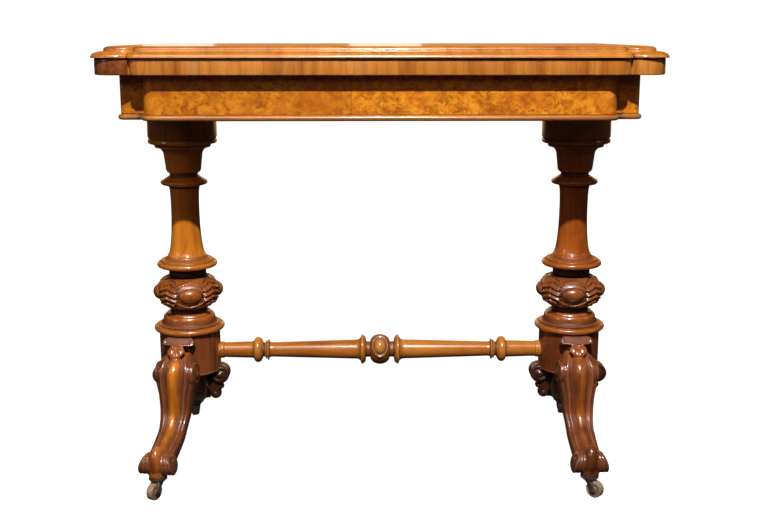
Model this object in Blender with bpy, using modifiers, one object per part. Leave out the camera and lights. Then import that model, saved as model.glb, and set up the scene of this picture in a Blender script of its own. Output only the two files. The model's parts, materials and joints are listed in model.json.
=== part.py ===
"""Fold-over card table with a swivel top, twin turned columns and carved legs on castors.

Metres, +Z up, front towards -Y. The origin is on the floor under the middle of the closed top.
"""

import math

import bmesh
import bpy
from mathutils import Matrix, Vector

MM = 0.001

# Fits
FIT = 0.3 * MM  # gap left between faces that touch
RUNNING = 0.5 * MM  # radial clearance of a pin, bolt or wheel in its hole
ROD_SIDES = 8  # facets of pins, axles and hinge knuckles

# Whole table
TABLE_HEIGHT = 724.3 * MM  # floor to the top; the columns take up a change
TOP_WIDTH = 872 * MM  # across the noses of the upper leaf
TOP_DEPTH = 443 * MM  # front nose to hinge line

# Leaves
UPPER_THICKNESS = 17.2 * MM
LOWER_THICKNESS = 24.8 * MM
LOWER_MARGIN = 5 * MM  # lower leaf's edge inside the upper leaf's nose
LEAF_ARRIS = 1 * MM
LOBE_WIDTH = 61 * MM  # notch to the side, along the front
NOTCH_DEPTH = 15 * MM
NOTCH_ROUND = 14 * MM
NOTCH_MITRE = 0.37  # how far the notch moves inwards for each unit of inset
LOBE_DEPTH = 28.6 * MM  # notch to the end of the corner lobe, along the side
LOBE_MITRE = 0.5
NOSE_UNDERCUT = 2 * MM
NOSE_HEIGHT = 0.9 * MM
OVOLO_RUN = 18 * MM
OVOLO_RISE = 9 * MM
FILLET_RISE = 4.2 * MM
CROWN_RUN = 9.5 * MM

# Baize linings
BAIZE_THICKNESS = 1 * MM
BAIZE_BORDER = 50 * MM  # from the lower leaf's edge
BAIZE_HINGE_BORDER = 30 * MM

# Leaf hinges
HINGE_INSET = 146 * MM  # side of the top to the middle of a hinge
HINGE_LENGTH = 54 * MM
HINGE_REACH = 22 * MM
HINGE_PLATE = 2 * MM
KNUCKLE_RADIUS = 3 * MM
HINGE_PIN_RADIUS = 1.3 * MM

# Swivel pivot
PIVOT_PLATE_SIDE = 70 * MM
PIVOT_PLATE_THICKNESS = 3 * MM
BOLT_RADIUS = 6 * MM
BOLT_HEAD_RADIUS = 12 * MM
BOLT_HEAD_HEIGHT = 3 * MM
WASHER_RADIUS = 15 * MM
WASHER_THICKNESS = 2 * MM
NUT_RADIUS = 11 * MM
NUT_HEIGHT = 9 * MM
BOLT_TAIL = 3 * MM
PEG_RADIUS = 6 * MM
PEG_DROP = 16 * MM
PEG_SOCKET = 8 * MM
PEG_LAG = 90 * MM  # how far the peg lies in front of the pivot at rest

# Frame
FRIEZE_FRONT_OVERHANG = 29.5 * MM  # upper leaf's nose beyond the frieze
FRIEZE_SIDE_OVERHANG = 36 * MM
FRIEZE_BACK_OVERHANG = 27 * MM  # hinge line beyond the back rail
BREAK_INSET = 39 * MM  # side of the frieze to the projecting front
BREAK_DEPTH = 30 * MM
BREAK_ROUND = 20 * MM
CORNER_ROUND = 8 * MM
RAIL_THICKNESS = 24 * MM
RAIL_HEIGHT = 58.9 * MM
BEAD_HEIGHT = 9.5 * MM
BEAD_PROUD = 4.5 * MM
BEAD_LEDGE = 10 * MM
COLUMN_BEARER_WIDTH = 100 * MM
COLUMN_BEARER_HEIGHT = 25 * MM
PIVOT_BEARER_HEIGHT = 20 * MM
PARTITION_THICKNESS = 8 * MM
WELL_FLOOR_THICKNESS = 5 * MM

# Pedestals
COLUMN_INSET = 101 * MM  # side of the top to a column's axis
DRUM_RADIUS = 54.3 * MM
DRUM_HEIGHT = 73.2 * MM
DRUM_ARRIS = 1 * MM

# Turned pieces, from the base up: radius of the base, then each cut as kind, height, end radius
COLLAR_CUTS = (
    54.5,
    ("round", 5.4, 60.8), ("round", 5.0, 54.5), ("line", 0.8, 51.5), ("line", 1.4, 53.0),
    ("flare", 6.0, 45.0), ("round", 10.0, 40.0), ("line", 3.1, 38.0), ("line", 1.5, 33.0),
)
KNOP_CUTS = (
    33.0,
    ("line", 2.0, 31.5), ("line", 5.3, 31.0), ("round", 30.0, 57.2), ("round", 25.7, 28.5),
    ("line", 1.5, 32.0), ("line", 14.7, 32.0),
)
SHAFT_FOOT_CUTS = (
    46.5,
    ("round", 5.0, 51.5), ("round", 4.6, 46.5), ("line", 1.4, 44.5), ("line", 2.0, 44.5),
    ("flare", 8.0, 33.0),
)
SHAFT_WAIST = 24.0  # radius where the trumpet between foot and head is slimmest
SHAFT_HEAD_CUTS = (
    ("flare", 38.0, 27.2), ("line", 1.0, 29.0),
    ("round", 6.0, 40.5), ("round", 5.0, 38.0), ("line", 7.0, 27.5), ("line", 3.0, 23.5),
    ("line", 3.0, 26.0), ("round", 9.0, 30.0), ("line", 20.5, 32.5), ("flare", 9.0, 38.5),
    ("line", 4.6, 44.5), ("line", 2.0, 47.0), ("flare", 4.0, 52.5), ("round", 4.2, 58.0),
    ("round", 4.0, 55.5),
)
CAPITAL_CUTS = (56.5, ("line", 2.0, 56.5), ("line", 0.7, 58.0), ("line", 41.0, 58.0))
CUT_STEPS = 2  # straight pieces in a rounded cut
TALL_CUT = 10 * MM  # a rounded cut this high takes one more
TURN_SIDES = 14

# Carving on the knop: oval cabochons on raised ovals, front and back
CABOCHON_WIDTH = 52 * MM
CABOCHON_HEIGHT = 31 * MM
CABOCHON_PROUD = 5 * MM
OVAL_WIDTH = 70 * MM
OVAL_HEIGHT = 46 * MM
OVAL_PROUD = 2 * MM
KNOP_TURNS = {"left": 13, "right": -5}  # degrees, how far each faces round from the front

# Stretcher, from the middle outwards
STRETCHER_HEIGHT = 33.5 * MM  # above the base of the drum
STRETCHER_CUTS = (
    29.4,
    ("round", 17.0, 16.5), ("line", 3.0, 13.5), ("line", 4.5, 14.0), ("line", 7.4, 26.0),
    ("line", 9.6, 17.0), ("line", 148.5, 12.8), ("line", 8.0, 16.0), ("line", 2.0, 18.0),
    ("line", 3.5, 13.0), ("line", 3.5, 12.0), ("round", 9.5, 22.4), ("round", 7.5, 15.0),
    ("line", 4.0, 14.5),
)
STRETCHER_END_RADIUS = 13.2 * MM
STRETCHER_COLLAR_RADIUS = 14.6 * MM
STRETCHER_COLLAR_LENGTH = 6 * MM
TENON_RADIUS = 9 * MM
TENON_LENGTH = 22 * MM
STRETCHER_SIDES = 10
BOSS_WIDTH = 26 * MM
BOSS_HEIGHT = 44 * MM
BOSS_PROUD = 5 * MM

# Legs
LEG_RISE = 124.2 * MM  # castor seat to the base of the drum
LEG_REACH = 151 * MM  # drum face to the tip of the toe
LEG_SPLAY = {  # degrees outwards from straight forwards or backwards
    "left_front": 9,
    "right_front": 2,
    "left_back": 8,
    "right_back": 8,
}
KNEE_HALF = 34.5 * MM
SHANK_HALF = 26 * MM
ANKLE_HALF = 23 * MM
TOE_HALF = 22 * MM
# Stations from the top of the knee to the tip of the toe: back and front of the leg as
# (reach, rise, reach, rise) shares of LEG_REACH and LEG_RISE, then the half width
LEG_STATIONS = (
    (-0.06, 1.37, 0.10, 1.39, 0.5 * KNEE_HALF),
    (-0.06, 1.26, 0.26, 1.31, 0.85 * KNEE_HALF),
    (-0.06, 1.15, 0.34, 1.20, KNEE_HALF),
    (-0.06, 0.97, 0.37, 1.03, KNEE_HALF),
    (0.01, 0.81, 0.37, 0.85, 0.85 * KNEE_HALF),
    (0.09, 0.58, 0.38, 0.62, SHANK_HALF),
    (0.21, 0.37, 0.48, 0.47, ANKLE_HALF),
    (0.34, 0.24, 0.59, 0.40, ANKLE_HALF),
    (0.56, 0.10, 0.76, 0.34, TOE_HALF),
    (0.74, 0.03, 0.89, 0.28, TOE_HALF),
    (0.82, 0.02, 0.95, 0.18, 0.95 * TOE_HALF),
    (0.87, 0.02, 0.94, 0.07, 0.75 * TOE_HALF),
)
# Half of a section, back to front, as shares of its half width and depth: a round back, a
# side reed, a groove and the middle ridge
LEG_SECTION = (
    (0.60, 0.00), (0.97, 0.20), (1.00, 0.66), (0.80, 0.88), (0.52, 0.80), (0.36, 0.93),
)
VOLUTE_RADIUS = 20 * MM
VOLUTE_HALF = 36 * MM
VOLUTE_EYE_RADIUS = 7 * MM
VOLUTE_EYE_PROUD = 2.5 * MM
VOLUTE_REACH = 22 * MM  # drum face to the volute's axis
VOLUTE_RISE = 15 * MM  # above the base of the drum
TOE_EAR_RADIUS = 18.5 * MM
TOE_EAR_HALF = 31 * MM
TOE_EAR_INNER = 14 * MM
TOE_EAR_SETBACK = 21.5 * MM  # tip of the toe to the ear's axis
TOE_EAR_RISE = 21 * MM  # above the castor seat
TOE_KNOB_DEPTH = 38 * MM  # rounded middle of the toe, ending at its tip
TOE_KNOB_HALF = 12.5 * MM
TOE_KNOB_HEIGHT = 51 * MM
SCROLL_SIDES = 9
CREST_PROUD = 19 * MM  # leaf shelf above the knee, beyond the drum face
CREST_HALF_ANGLE = 22  # degrees round the drum
CREST_LOBES = 3
CREST_SCALLOP = 2.5 * MM
CREST_RISE = 61 * MM  # underside of the crest above the base of the drum
CREST_THICKNESS = 7 * MM
LEAF_REACH = 14 * MM  # leaf below the crest: drum face to its middle
LEAF_DROP = 9 * MM
LEAF_HALF = 15.5 * MM
SEAT_HEIGHT = 12 * MM

# Brackets beside the drum
BRACKET_THICKNESS = 30 * MM
BRACKET_VOLUTE_RADIUS = 16 * MM
BRACKET_VOLUTE_HALF = 18 * MM
BRACKET_VOLUTE_DROP = 9 * MM  # below the base of the drum
BRACKET_FOOT_RADIUS = 10 * MM
BRACKET_FOOT_DROP = 46 * MM
BRACKET_FOOT_INSET = 9 * MM
BRACKET_BEAD_RADIUS = 6 * MM
BRACKET_BEAD_DROP = 33 * MM
BRACKET_ROOT = 26 * MM  # how far the web runs in under the drum

# Castors
WHEEL_RADIUS = 14.5 * MM
WHEEL_WIDTH = 13 * MM
WHEEL_SIDES = 12
WHEEL_HEADROOM = 0.8 * MM
AXLE_RADIUS = 2.2 * MM
CROWN_RADIUS = 12 * MM
CROWN_THICKNESS = 2.6 * MM
CASTOR_PIN_RADIUS = 4 * MM
CASTOR_PLATE_RADIUS = 15 * MM
CASTOR_PLATE_THICKNESS = 4 * MM
CHEEK_THICKNESS = 2 * MM
CHEEK_GAP = 0.6 * MM
CHEEK_EYE_RADIUS = 5 * MM
RIVET_HEAD = 0.8 * MM
CASTOR_TRAIL = 11 * MM
CASTOR_SETBACK = 19 * MM  # tip of the toe to the swivel axis
CASTOR_HEADINGS = {  # degrees, the way each wheel trails at rest
    "left_front": -118,
    "right_front": -42,
    "left_back": 115,
    "right_back": 70,
}

# Finishes: colour, roughness, metallic
WALNUT = ((0.30, 0.12, 0.035), 0.30, 0.0)
BURR_WALNUT = ((0.52, 0.24, 0.05), 0.28, 0.0)
DARK_WALNUT = ((0.17, 0.06, 0.022), 0.32, 0.0)
PINE = ((0.45, 0.30, 0.16), 0.70, 0.0)
BAIZE = ((0.03, 0.16, 0.07), 0.95, 0.0)
BRASS = ((0.70, 0.50, 0.20), 0.35, 1.0)
IRON = ((0.12, 0.11, 0.10), 0.55, 1.0)
HARDWOOD = ((0.22, 0.11, 0.06), 0.35, 0.0)

# Levels, from the floor up
axle_z = WHEEL_RADIUS * math.cos(math.pi / WHEEL_SIDES)  # the wheel stands on a flat
crown_base = axle_z + WHEEL_RADIUS + WHEEL_HEADROOM
crown_top = crown_base + CROWN_THICKNESS
plate_base = crown_top + FIT
seat_z = plate_base + CASTOR_PLATE_THICKNESS + FIT
drum_z = seat_z + LEG_RISE
collar_z = drum_z + DRUM_HEIGHT + FIT


def turned_height(*cuts):
    return sum(cut[1] for cut in cuts) * MM


knop_z = collar_z + turned_height(*COLLAR_CUTS[1:]) + FIT
shaft_z = knop_z + turned_height(*KNOP_CUTS[1:]) + FIT
upper_z = TABLE_HEIGHT - UPPER_THICKNESS
lower_top = upper_z - FIT
lower_z = lower_top - LOWER_THICKNESS
rail_top = lower_z - FIT
rail_z = rail_top - RAIL_HEIGHT
frame_z = rail_z - FIT - BEAD_HEIGHT
capital_z = frame_z - FIT - turned_height(*CAPITAL_CUTS[1:])
hinge_z = (lower_top + upper_z) / 2
trumpet = capital_z - FIT - shaft_z - turned_height(*SHAFT_FOOT_CUTS[1:], *SHAFT_HEAD_CUTS)
shaft_cuts = SHAFT_FOOT_CUTS + (("flare", trumpet / MM, SHAFT_WAIST),) + SHAFT_HEAD_CUTS

# Places in plan
front_y = -(TOP_DEPTH + KNUCKLE_RADIUS) / 2
hinge_y = front_y + TOP_DEPTH
leaf_back = hinge_y - FIT / 2
pivot = Vector((hinge_y / 2, hinge_y / 2))
frieze_half = TOP_WIDTH / 2 - FRIEZE_SIDE_OVERHANG
break_half = frieze_half - BREAK_INSET
notch_half = TOP_WIDTH / 2 - LOBE_WIDTH
hinge_half_spacing = TOP_WIDTH / 2 - HINGE_INSET
column_half_spacing = TOP_WIDTH / 2 - COLUMN_INSET
frieze_front = front_y + FRIEZE_FRONT_OVERHANG
frieze_end = frieze_front + BREAK_DEPTH
frieze_joint = frieze_end + RAIL_THICKNESS
frieze_back = hinge_y - FRIEZE_BACK_OVERHANG
back_joint = frieze_back - RAIL_THICKNESS
well_front = frieze_front + RAIL_THICKNESS
break_inner = break_half - RAIL_THICKNESS
bearer_outer = frieze_half - RAIL_THICKNESS - FIT
bearer_inner = bearer_outer - COLUMN_BEARER_WIDTH
# The peg meets the pivot bearer at rest and the back rail after a quarter turn
pivot_bearer_half = back_joint - pivot.y - 2 * (PEG_RADIUS + FIT)

for item in list(bpy.data.objects):
    bpy.data.objects.remove(item, do_unlink=True)
parts = bpy.data.collections.new("card_table")
cutters = bpy.data.collections.new("card_table_cutters")
bpy.context.scene.collection.children.link(parts)
bpy.context.scene.collection.children.link(cutters)


# Building blocks


def finished(name, finish):
    """A material of the object's own."""
    colour, roughness, metallic = finish
    material = bpy.data.materials.new(name + "_finish")
    material.use_nodes = True
    shader = material.node_tree.nodes["Principled BSDF"]
    shader.inputs["Base Color"].default_value = (*colour, 1.0)
    shader.inputs["Roughness"].default_value = roughness
    shader.inputs["Metallic"].default_value = metallic
    return material


def part(name, mesh, finish, smooth=30):
    """A visible piece, shaded smooth up to the given angle in degrees."""
    if mesh.users:
        mesh = mesh.copy()
    mesh.name = name
    mesh.shade_smooth()
    mesh.set_sharp_from_angle(angle=math.radians(smooth))
    mesh.materials.clear()
    mesh.materials.append(finished(name, finish))
    piece = bpy.data.objects.new(name, mesh)
    parts.objects.link(piece)
    return piece


def helper(name, mesh):
    """A hidden solid that cuts or joins a piece."""
    tool = bpy.data.objects.new(name, mesh)
    tool.hide_render = True
    tool.display_type = "WIRE"
    cutters.objects.link(tool)
    return tool


def carve(piece, tool, operation="DIFFERENCE"):
    step = piece.modifiers.new(tool.name, "BOOLEAN")
    step.operation = operation
    step.object = tool
    step.solver = "EXACT"


def evaluated_mesh(source):
    """The object's mesh with its modifiers, in world space."""
    bpy.context.view_layer.update()
    graph = bpy.context.evaluated_depsgraph_get()
    mesh = bpy.data.meshes.new_from_object(source.evaluated_get(graph))
    mesh.transform(source.matrix_world)
    return mesh


def mesh_of(build):
    """A mesh from a function that fills a bmesh."""
    shape = bmesh.new()
    build(shape)
    bmesh.ops.recalc_face_normals(shape, faces=shape.faces)
    mesh = bpy.data.meshes.new("shape")
    shape.to_mesh(mesh)
    shape.free()
    return mesh


def box(low, high):
    low, high = Vector(low), Vector(high)
    place = Matrix.Translation((low + high) / 2) @ Matrix.Diagonal((*(high - low), 1.0))
    return mesh_of(lambda shape: bmesh.ops.create_cube(shape, size=1.0, matrix=place))


def cylinder(centre, radius, length, axis="Z", sides=TURN_SIDES):
    """A solid rod centred on a point, along X, Y or Z, its facets in line with those of lathe."""
    turn = {
        "X": Matrix.Rotation(math.pi / 2, 4, "Y"),
        "Y": Matrix.Rotation(math.pi / 2, 4, "X"),
        "Z": Matrix.Identity(4),
    }[axis]
    place = Matrix.Translation(centre) @ turn @ Matrix.Rotation(math.pi / 2, 4, "Z")
    return mesh_of(lambda shape: bmesh.ops.create_cone(
        shape, cap_ends=True, segments=sides, radius1=radius, radius2=radius,
        depth=length, matrix=place))


def ellipsoid(centre, radii, rings=4, sides=10):
    place = Matrix.Translation(centre) @ Matrix.Diagonal((*radii, 1.0))
    return mesh_of(lambda shape: bmesh.ops.create_uvsphere(
        shape, u_segments=sides, v_segments=rings, radius=1.0, matrix=place))


def loft(rings):
    """A closed solid through rings of equal count, capped at both ends."""
    def build(shape):
        loops = [[shape.verts.new(point) for point in ring] for ring in rings]
        for lower, upper in zip(loops, loops[1:]):
            for k in range(len(lower)):
                after = (k + 1) % len(lower)
                shape.faces.new((lower[k], lower[after], upper[after], upper[k]))
        shape.faces.new(loops[0])
        shape.faces.new(loops[-1])
    return mesh_of(build)


def rounded(corners, steps=3):
    """An outline from corners (x, y, radius), each radius made an arc."""
    outline = []
    for k, (x, y, radius) in enumerate(corners):
        corner = Vector((x, y))
        if not radius:
            outline.append(corner)
            continue
        before = (Vector(corners[k - 1][:2]) - corner).normalized()
        after = (Vector(corners[(k + 1) % len(corners)][:2]) - corner).normalized()
        half = before.angle(after) / 2
        centre = corner + (before + after).normalized() * radius / math.sin(half)
        start = corner + before * radius / math.tan(half) - centre
        turn = -start.angle_signed(corner + after * radius / math.tan(half) - centre)
        for step in range(steps + 1):
            outline.append(centre + Matrix.Rotation(turn * step / steps, 2) @ start)
    return outline


def slab(outline, low, high):
    """A flat outline in plan, extruded between two heights."""
    curve = bpy.data.curves.new("outline", "CURVE")
    curve.dimensions = "2D"
    curve.fill_mode = "BOTH"
    curve.extrude = (high - low) / 2
    line = curve.splines.new("POLY")
    line.points.add(len(outline) - 1)
    for point, place in zip(line.points, outline):
        point.co = (place[0], place[1], 0.0, 1.0)
    line.use_cyclic_u = True
    source = bpy.data.objects.new("outline", curve)
    source.location.z = (low + high) / 2
    cutters.objects.link(source)
    flat = evaluated_mesh(source)
    bpy.data.objects.remove(source)
    bpy.data.curves.remove(curve)

    def build(shape):
        shape.from_mesh(flat)
        bmesh.ops.remove_doubles(shape, verts=shape.verts, dist=0.01 * MM)
        bmesh.ops.dissolve_limit(
            shape, angle_limit=0.001, verts=shape.verts, edges=shape.edges)
    return mesh_of(build)


def turning(cuts, steps=CUT_STEPS):
    """Points (radius, height) of a turned profile, from its base up."""
    radius, height = cuts[0] * MM, 0.0
    points = [(radius, height)]
    for kind, rise, end in cuts[1:]:
        rise, end = rise * MM, end * MM
        widening = end > radius
        count = 1 if kind == "line" else steps + (rise >= TALL_CUT)
        for step in range(1, count + 1):
            turn = math.pi / 2 * step / count
            if kind == "line":
                along, up = step / count, step / count
            elif (kind == "round") == widening:
                along, up = math.sin(turn), 1 - math.cos(turn)
            else:
                along, up = 1 - math.cos(turn), math.sin(turn)
            points.append((radius + (end - radius) * along, height + rise * up))
        radius, height = end, height + rise
    return points


def lathe(profile, sides=TURN_SIDES):
    """The solid of a profile (radius, height) turned about Z."""
    outer = list(reversed(profile))
    line = [(0.0, outer[0][1])] + outer + [(0.0, outer[-1][1])]
    mesh = bpy.data.meshes.new("profile")
    mesh.from_pydata(
        [(radius, 0.0, height) for radius, height in line],
        [(k, k + 1) for k in range(len(line) - 1)], [])
    source = helper("profile", mesh)
    screw = source.modifiers.new("turn", "SCREW")
    screw.axis = "Z"
    screw.steps = sides
    screw.render_steps = sides
    screw.use_merge_vertices = True
    screw.merge_threshold = 0.01 * MM
    solid = evaluated_mesh(source)
    bpy.data.objects.remove(source)
    bpy.data.meshes.remove(mesh)
    return solid


def lying(mesh, axis):
    """A turned mesh laid with its axis along X or Y."""
    if axis == "X":
        mesh.transform(Matrix.Rotation(math.pi / 2, 4, "Y"))
    else:
        mesh.transform(Matrix.Rotation(-math.pi / 2, 4, "X"))
    return mesh


def moved(mesh, *place):
    mesh.transform(Matrix.Translation(place))
    return mesh


def axis_point(name, place, parent=None, heading=0.0):
    """An empty on a joint's axis."""
    point = bpy.data.objects.new(name, None)
    parts.objects.link(point)
    point.location = place
    point.rotation_euler.z = math.radians(heading)
    if parent:
        point.parent = parent
        point.location -= parent.location
    return point


def carried(piece, point, place):
    """Hangs a piece, modelled in place, on an empty at the given place."""
    piece.data.transform(Matrix.Translation(-Vector(place)))
    piece.parent = point
    return piece


# The two leaves


def leaf_outline(inset):
    """The edge of a leaf, standing in from the upper leaf's nose."""
    lobe_steps, round_steps = 6, 3
    side = TOP_WIDTH / 2 - inset
    notch = Vector((notch_half - NOTCH_MITRE * inset, front_y + inset + NOTCH_DEPTH))
    shoulder = front_y + NOTCH_DEPTH + LOBE_DEPTH + LOBE_MITRE * inset
    across, along = side - notch.x, shoulder - notch.y
    radius = (across ** 2 + along ** 2) / (2 * across)
    sweep = math.atan2(-along, radius - across)
    half = [(side, leaf_back)]
    for step in range(lobe_steps + 1):
        turn = sweep * step / lobe_steps
        half.append((side - radius + radius * math.cos(turn), shoulder + radius * math.sin(turn)))
    for step in range(1, round_steps + 1):
        turn = math.pi / 2 * step / round_steps
        half.append((notch.x - NOTCH_ROUND * (1 - math.cos(turn)),
                     notch.y - NOTCH_DEPTH * math.sin(turn)))
    return half + [(-x, y) for x, y in reversed(half)]


def leaf_solid(levels):
    """A leaf through (inset, height) levels."""
    return loft([[(x, y, height) for x, y in leaf_outline(inset)] for inset, height in levels])


def quarter(run, rise, steps=4):
    """Points of a convex quarter round: inset and height."""
    turns = [math.pi / 2 * step / steps for step in range(steps + 1)]
    return [(run * (1 - math.cos(turn)), rise * math.sin(turn)) for turn in turns]


def upper_levels():
    """The upper leaf's moulded edge: nose, ovolo, fillet and crown."""
    fillet = NOSE_HEIGHT + OVOLO_RISE
    crown = fillet + FILLET_RISE
    levels = [(NOSE_UNDERCUT, 0.0)]
    levels += [(run, NOSE_HEIGHT + rise) for run, rise in quarter(OVOLO_RUN, OVOLO_RISE)]
    levels += [(OVOLO_RUN + run, crown + rise)
               for run, rise in quarter(CROWN_RUN, UPPER_THICKNESS - crown, 3)]
    return [(inset, upper_z + height) for inset, height in levels]


def lower_levels():
    inner = LOWER_MARGIN + LEAF_ARRIS
    return [
        (inner, lower_z), (LOWER_MARGIN, lower_z + LEAF_ARRIS),
        (LOWER_MARGIN, lower_top - LEAF_ARRIS), (inner, lower_top),
    ]


baize_half = TOP_WIDTH / 2 - LOWER_MARGIN - BAIZE_BORDER
baize_front = front_y + LOWER_MARGIN + BAIZE_BORDER
baize_back = leaf_back - BAIZE_HINGE_BORDER
baize_recess = BAIZE_THICKNESS + 2 * FIT


def baize(low):
    return box((-baize_half, baize_front, low), (baize_half, baize_back, low + BAIZE_THICKNESS))


def baize_pocket(low, high):
    return box((-baize_half - FIT, baize_front - FIT, low), (baize_half + FIT, baize_back + FIT, high))


def knuckle(x, length, radius):
    return cylinder((x, hinge_y, hinge_z), radius, length, "X", ROD_SIDES)


def hinge_plate(x, low, high, grow=0.0):
    """The plate of a hinge from the axis into the leaf."""
    half = HINGE_LENGTH / 2 + grow
    return box((x - half, hinge_y - HINGE_REACH - grow, low), (x + half, leaf_back + grow, high))


def add_leaves(turn_point, fold_point):
    turn_place = (*pivot, lower_z)
    fold_place = (0.0, hinge_y, hinge_z)
    plate_top = lower_z + PIVOT_PLATE_THICKNESS + FIT
    clear = KNUCKLE_RADIUS + FIT

    upper = part("upper_leaf", leaf_solid(upper_levels()), BURR_WALNUT)
    lower = part("lower_leaf", leaf_solid(lower_levels()), WALNUT)
    carve(upper, helper("upper_pocket", baize_pocket(upper_z - FIT, upper_z + baize_recess)))
    carve(lower, helper("lower_pocket", baize_pocket(lower_top - baize_recess, lower_top + FIT)))
    for side, x in (("left", -hinge_half_spacing), ("right", hinge_half_spacing)):
        barrel = helper(side + "_barrel", knuckle(x, HINGE_LENGTH + 2 * FIT, clear))
        above = helper(side + "_upper_housing", hinge_plate(
            x, hinge_z, upper_z + HINGE_PLATE + FIT, FIT))
        below = helper(side + "_lower_housing", hinge_plate(
            x, lower_top - HINGE_PLATE - FIT, hinge_z, FIT))
        for leaf, housing in ((upper, above), (lower, below)):
            carve(leaf, housing)
            carve(leaf, barrel)
    socket = helper("peg_socket", cylinder(
        (*peg_place, lower_z), PEG_RADIUS + FIT, 2 * (PEG_SOCKET + FIT)))
    half = PIVOT_PLATE_SIDE / 2 + FIT
    plate_housing = helper("plate_housing", box(
        (pivot.x - half, pivot.y - half, lower_z - FIT), (pivot.x + half, pivot.y + half, plate_top)))
    head_housing = helper("head_housing", cylinder(
        (*pivot, plate_top), BOLT_HEAD_RADIUS + FIT, 2 * (BOLT_HEAD_HEIGHT + FIT)))
    for tool in (socket, plate_housing, head_housing):
        carve(lower, tool)
    carried(upper, fold_point, fold_place)
    carried(lower, turn_point, turn_place)
    carried(part("upper_baize", baize(upper_z + FIT), BAIZE), fold_point, fold_place)
    lining = part("lower_baize", baize(lower_top - FIT - BAIZE_THICKNESS), BAIZE)
    carried(lining, turn_point, turn_place)


def add_hinge(side, x, turn_point, fold_point):
    """A butt hinge: two outer knuckles below, the middle one above."""
    third = HINGE_LENGTH / 3
    middle = third - FIT
    outer = [x - third, x + third]
    clear = KNUCKLE_RADIUS + FIT

    upper = part(side + "_hinge_upper_plate", hinge_plate(x, upper_z, upper_z + HINGE_PLATE), BRASS)
    for k, place in enumerate(outer):
        carve(upper, helper(f"{side}_upper_gap_{k}", knuckle(place, third + FIT, clear)))
    carve(upper, helper(side + "_upper_knuckle", knuckle(x, middle, KNUCKLE_RADIUS)), "UNION")

    lower = part(
        side + "_hinge_lower_plate", hinge_plate(x, lower_top - HINGE_PLATE, lower_top), BRASS)
    carve(lower, helper(side + "_lower_gap", knuckle(x, third + FIT, clear)))
    for k, place in enumerate(outer):
        eye = knuckle(place, third - FIT, KNUCKLE_RADIUS)
        carve(lower, helper(f"{side}_lower_knuckle_{k}", eye), "UNION")

    bore = helper(side + "_hinge_bore", knuckle(x, 2 * HINGE_LENGTH, HINGE_PIN_RADIUS + RUNNING))
    carve(upper, bore)
    carve(lower, bore)
    pin = part(side + "_hinge_pin", knuckle(x, HINGE_LENGTH, HINGE_PIN_RADIUS), BRASS)
    carried(upper, fold_point, (0.0, hinge_y, hinge_z))
    carried(lower, turn_point, (*pivot, lower_z))
    carried(pin, turn_point, (*pivot, lower_z))


# Swivel pivot and stop


peg_place = pivot + Vector((pivot_bearer_half + PEG_RADIUS + FIT, -PEG_LAG))


def add_pivot(turn_point):
    turn_place = (*pivot, lower_z)
    bearer_base = rail_top - PIVOT_BEARER_HEIGHT
    washer_top = bearer_base - FIT
    nut_top = washer_top - WASHER_THICKNESS - FIT
    bolt_base = nut_top - NUT_HEIGHT - BOLT_TAIL
    head_base = lower_z + PIVOT_PLATE_THICKNESS + FIT
    half = PIVOT_PLATE_SIDE / 2
    bolt_hole = helper("bolt_hole", cylinder((*pivot, lower_z), BOLT_RADIUS + FIT, 2 * RAIL_HEIGHT))

    plate = part("pivot_plate", box(
        (pivot.x - half, pivot.y - half, lower_z),
        (pivot.x + half, pivot.y + half, lower_z + PIVOT_PLATE_THICKNESS)), IRON)
    shank = [
        (BOLT_RADIUS, bolt_base), (BOLT_RADIUS, head_base),
        (BOLT_HEAD_RADIUS, head_base), (BOLT_HEAD_RADIUS, head_base + BOLT_HEAD_HEIGHT),
    ]
    bolt = part("pivot_bolt", moved(lathe(shank), *pivot, 0.0), IRON)
    washer = part("pivot_washer", cylinder(
        (*pivot, washer_top - WASHER_THICKNESS / 2), WASHER_RADIUS, WASHER_THICKNESS), IRON)
    nut = part("pivot_nut", cylinder(
        (*pivot, nut_top - NUT_HEIGHT / 2), NUT_RADIUS, NUT_HEIGHT, sides=6), IRON)
    for piece in (plate, washer, nut):
        carve(piece, bolt_hole)
    peg = part("stop_peg", cylinder(
        (*peg_place, lower_z + (PEG_SOCKET - PEG_DROP) / 2), PEG_RADIUS, PEG_SOCKET + PEG_DROP), WALNUT)
    for piece in (plate, bolt, washer, nut, peg):
        carried(piece, turn_point, turn_place)


# Frame under the top


def mirrored(half):
    """Corners of a symmetric outline from those of its right half, front to back."""
    return half + [(-x, y, radius) for x, y, radius in reversed(half)]


def front_outline(proud, inner_half, inner_front):
    """The break-front in plan, standing proud of the frieze by the given amount."""
    return rounded(mirrored([
        (break_half + proud, frieze_front - proud, BREAK_ROUND + proud),
        (break_half + proud, frieze_end - proud, 0.0),
        (frieze_half + proud, frieze_end - proud, CORNER_ROUND + proud),
        (frieze_half + proud, frieze_joint, 0.0),
        (inner_half, frieze_joint, 0.0),
        (inner_half, inner_front, 0.0),
    ]))


def back_outline(proud, ledge):
    half = break_inner - BEAD_LEDGE
    corners = [
        (frieze_half + proud, frieze_back + proud, CORNER_ROUND + proud),
        (frieze_half + proud, back_joint, 0.0),
    ]
    if ledge:
        corners += [(half, back_joint, 0.0), (half, back_joint - ledge, 0.0)]
    return rounded(mirrored(corners))


def half_round(outline_at):
    """A strip whose outer edge is a half round: the outline follows how proud it stands."""
    steps = 4
    rings = []
    for step in range(steps + 1):
        turn = math.pi * (step / steps - 0.5)
        height = frame_z + BEAD_HEIGHT * (1 + math.sin(turn)) / 2
        outline = outline_at(BEAD_PROUD * math.cos(turn))
        rings.append([(point[0], point[1], height) for point in outline])
    return loft(rings)


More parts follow.
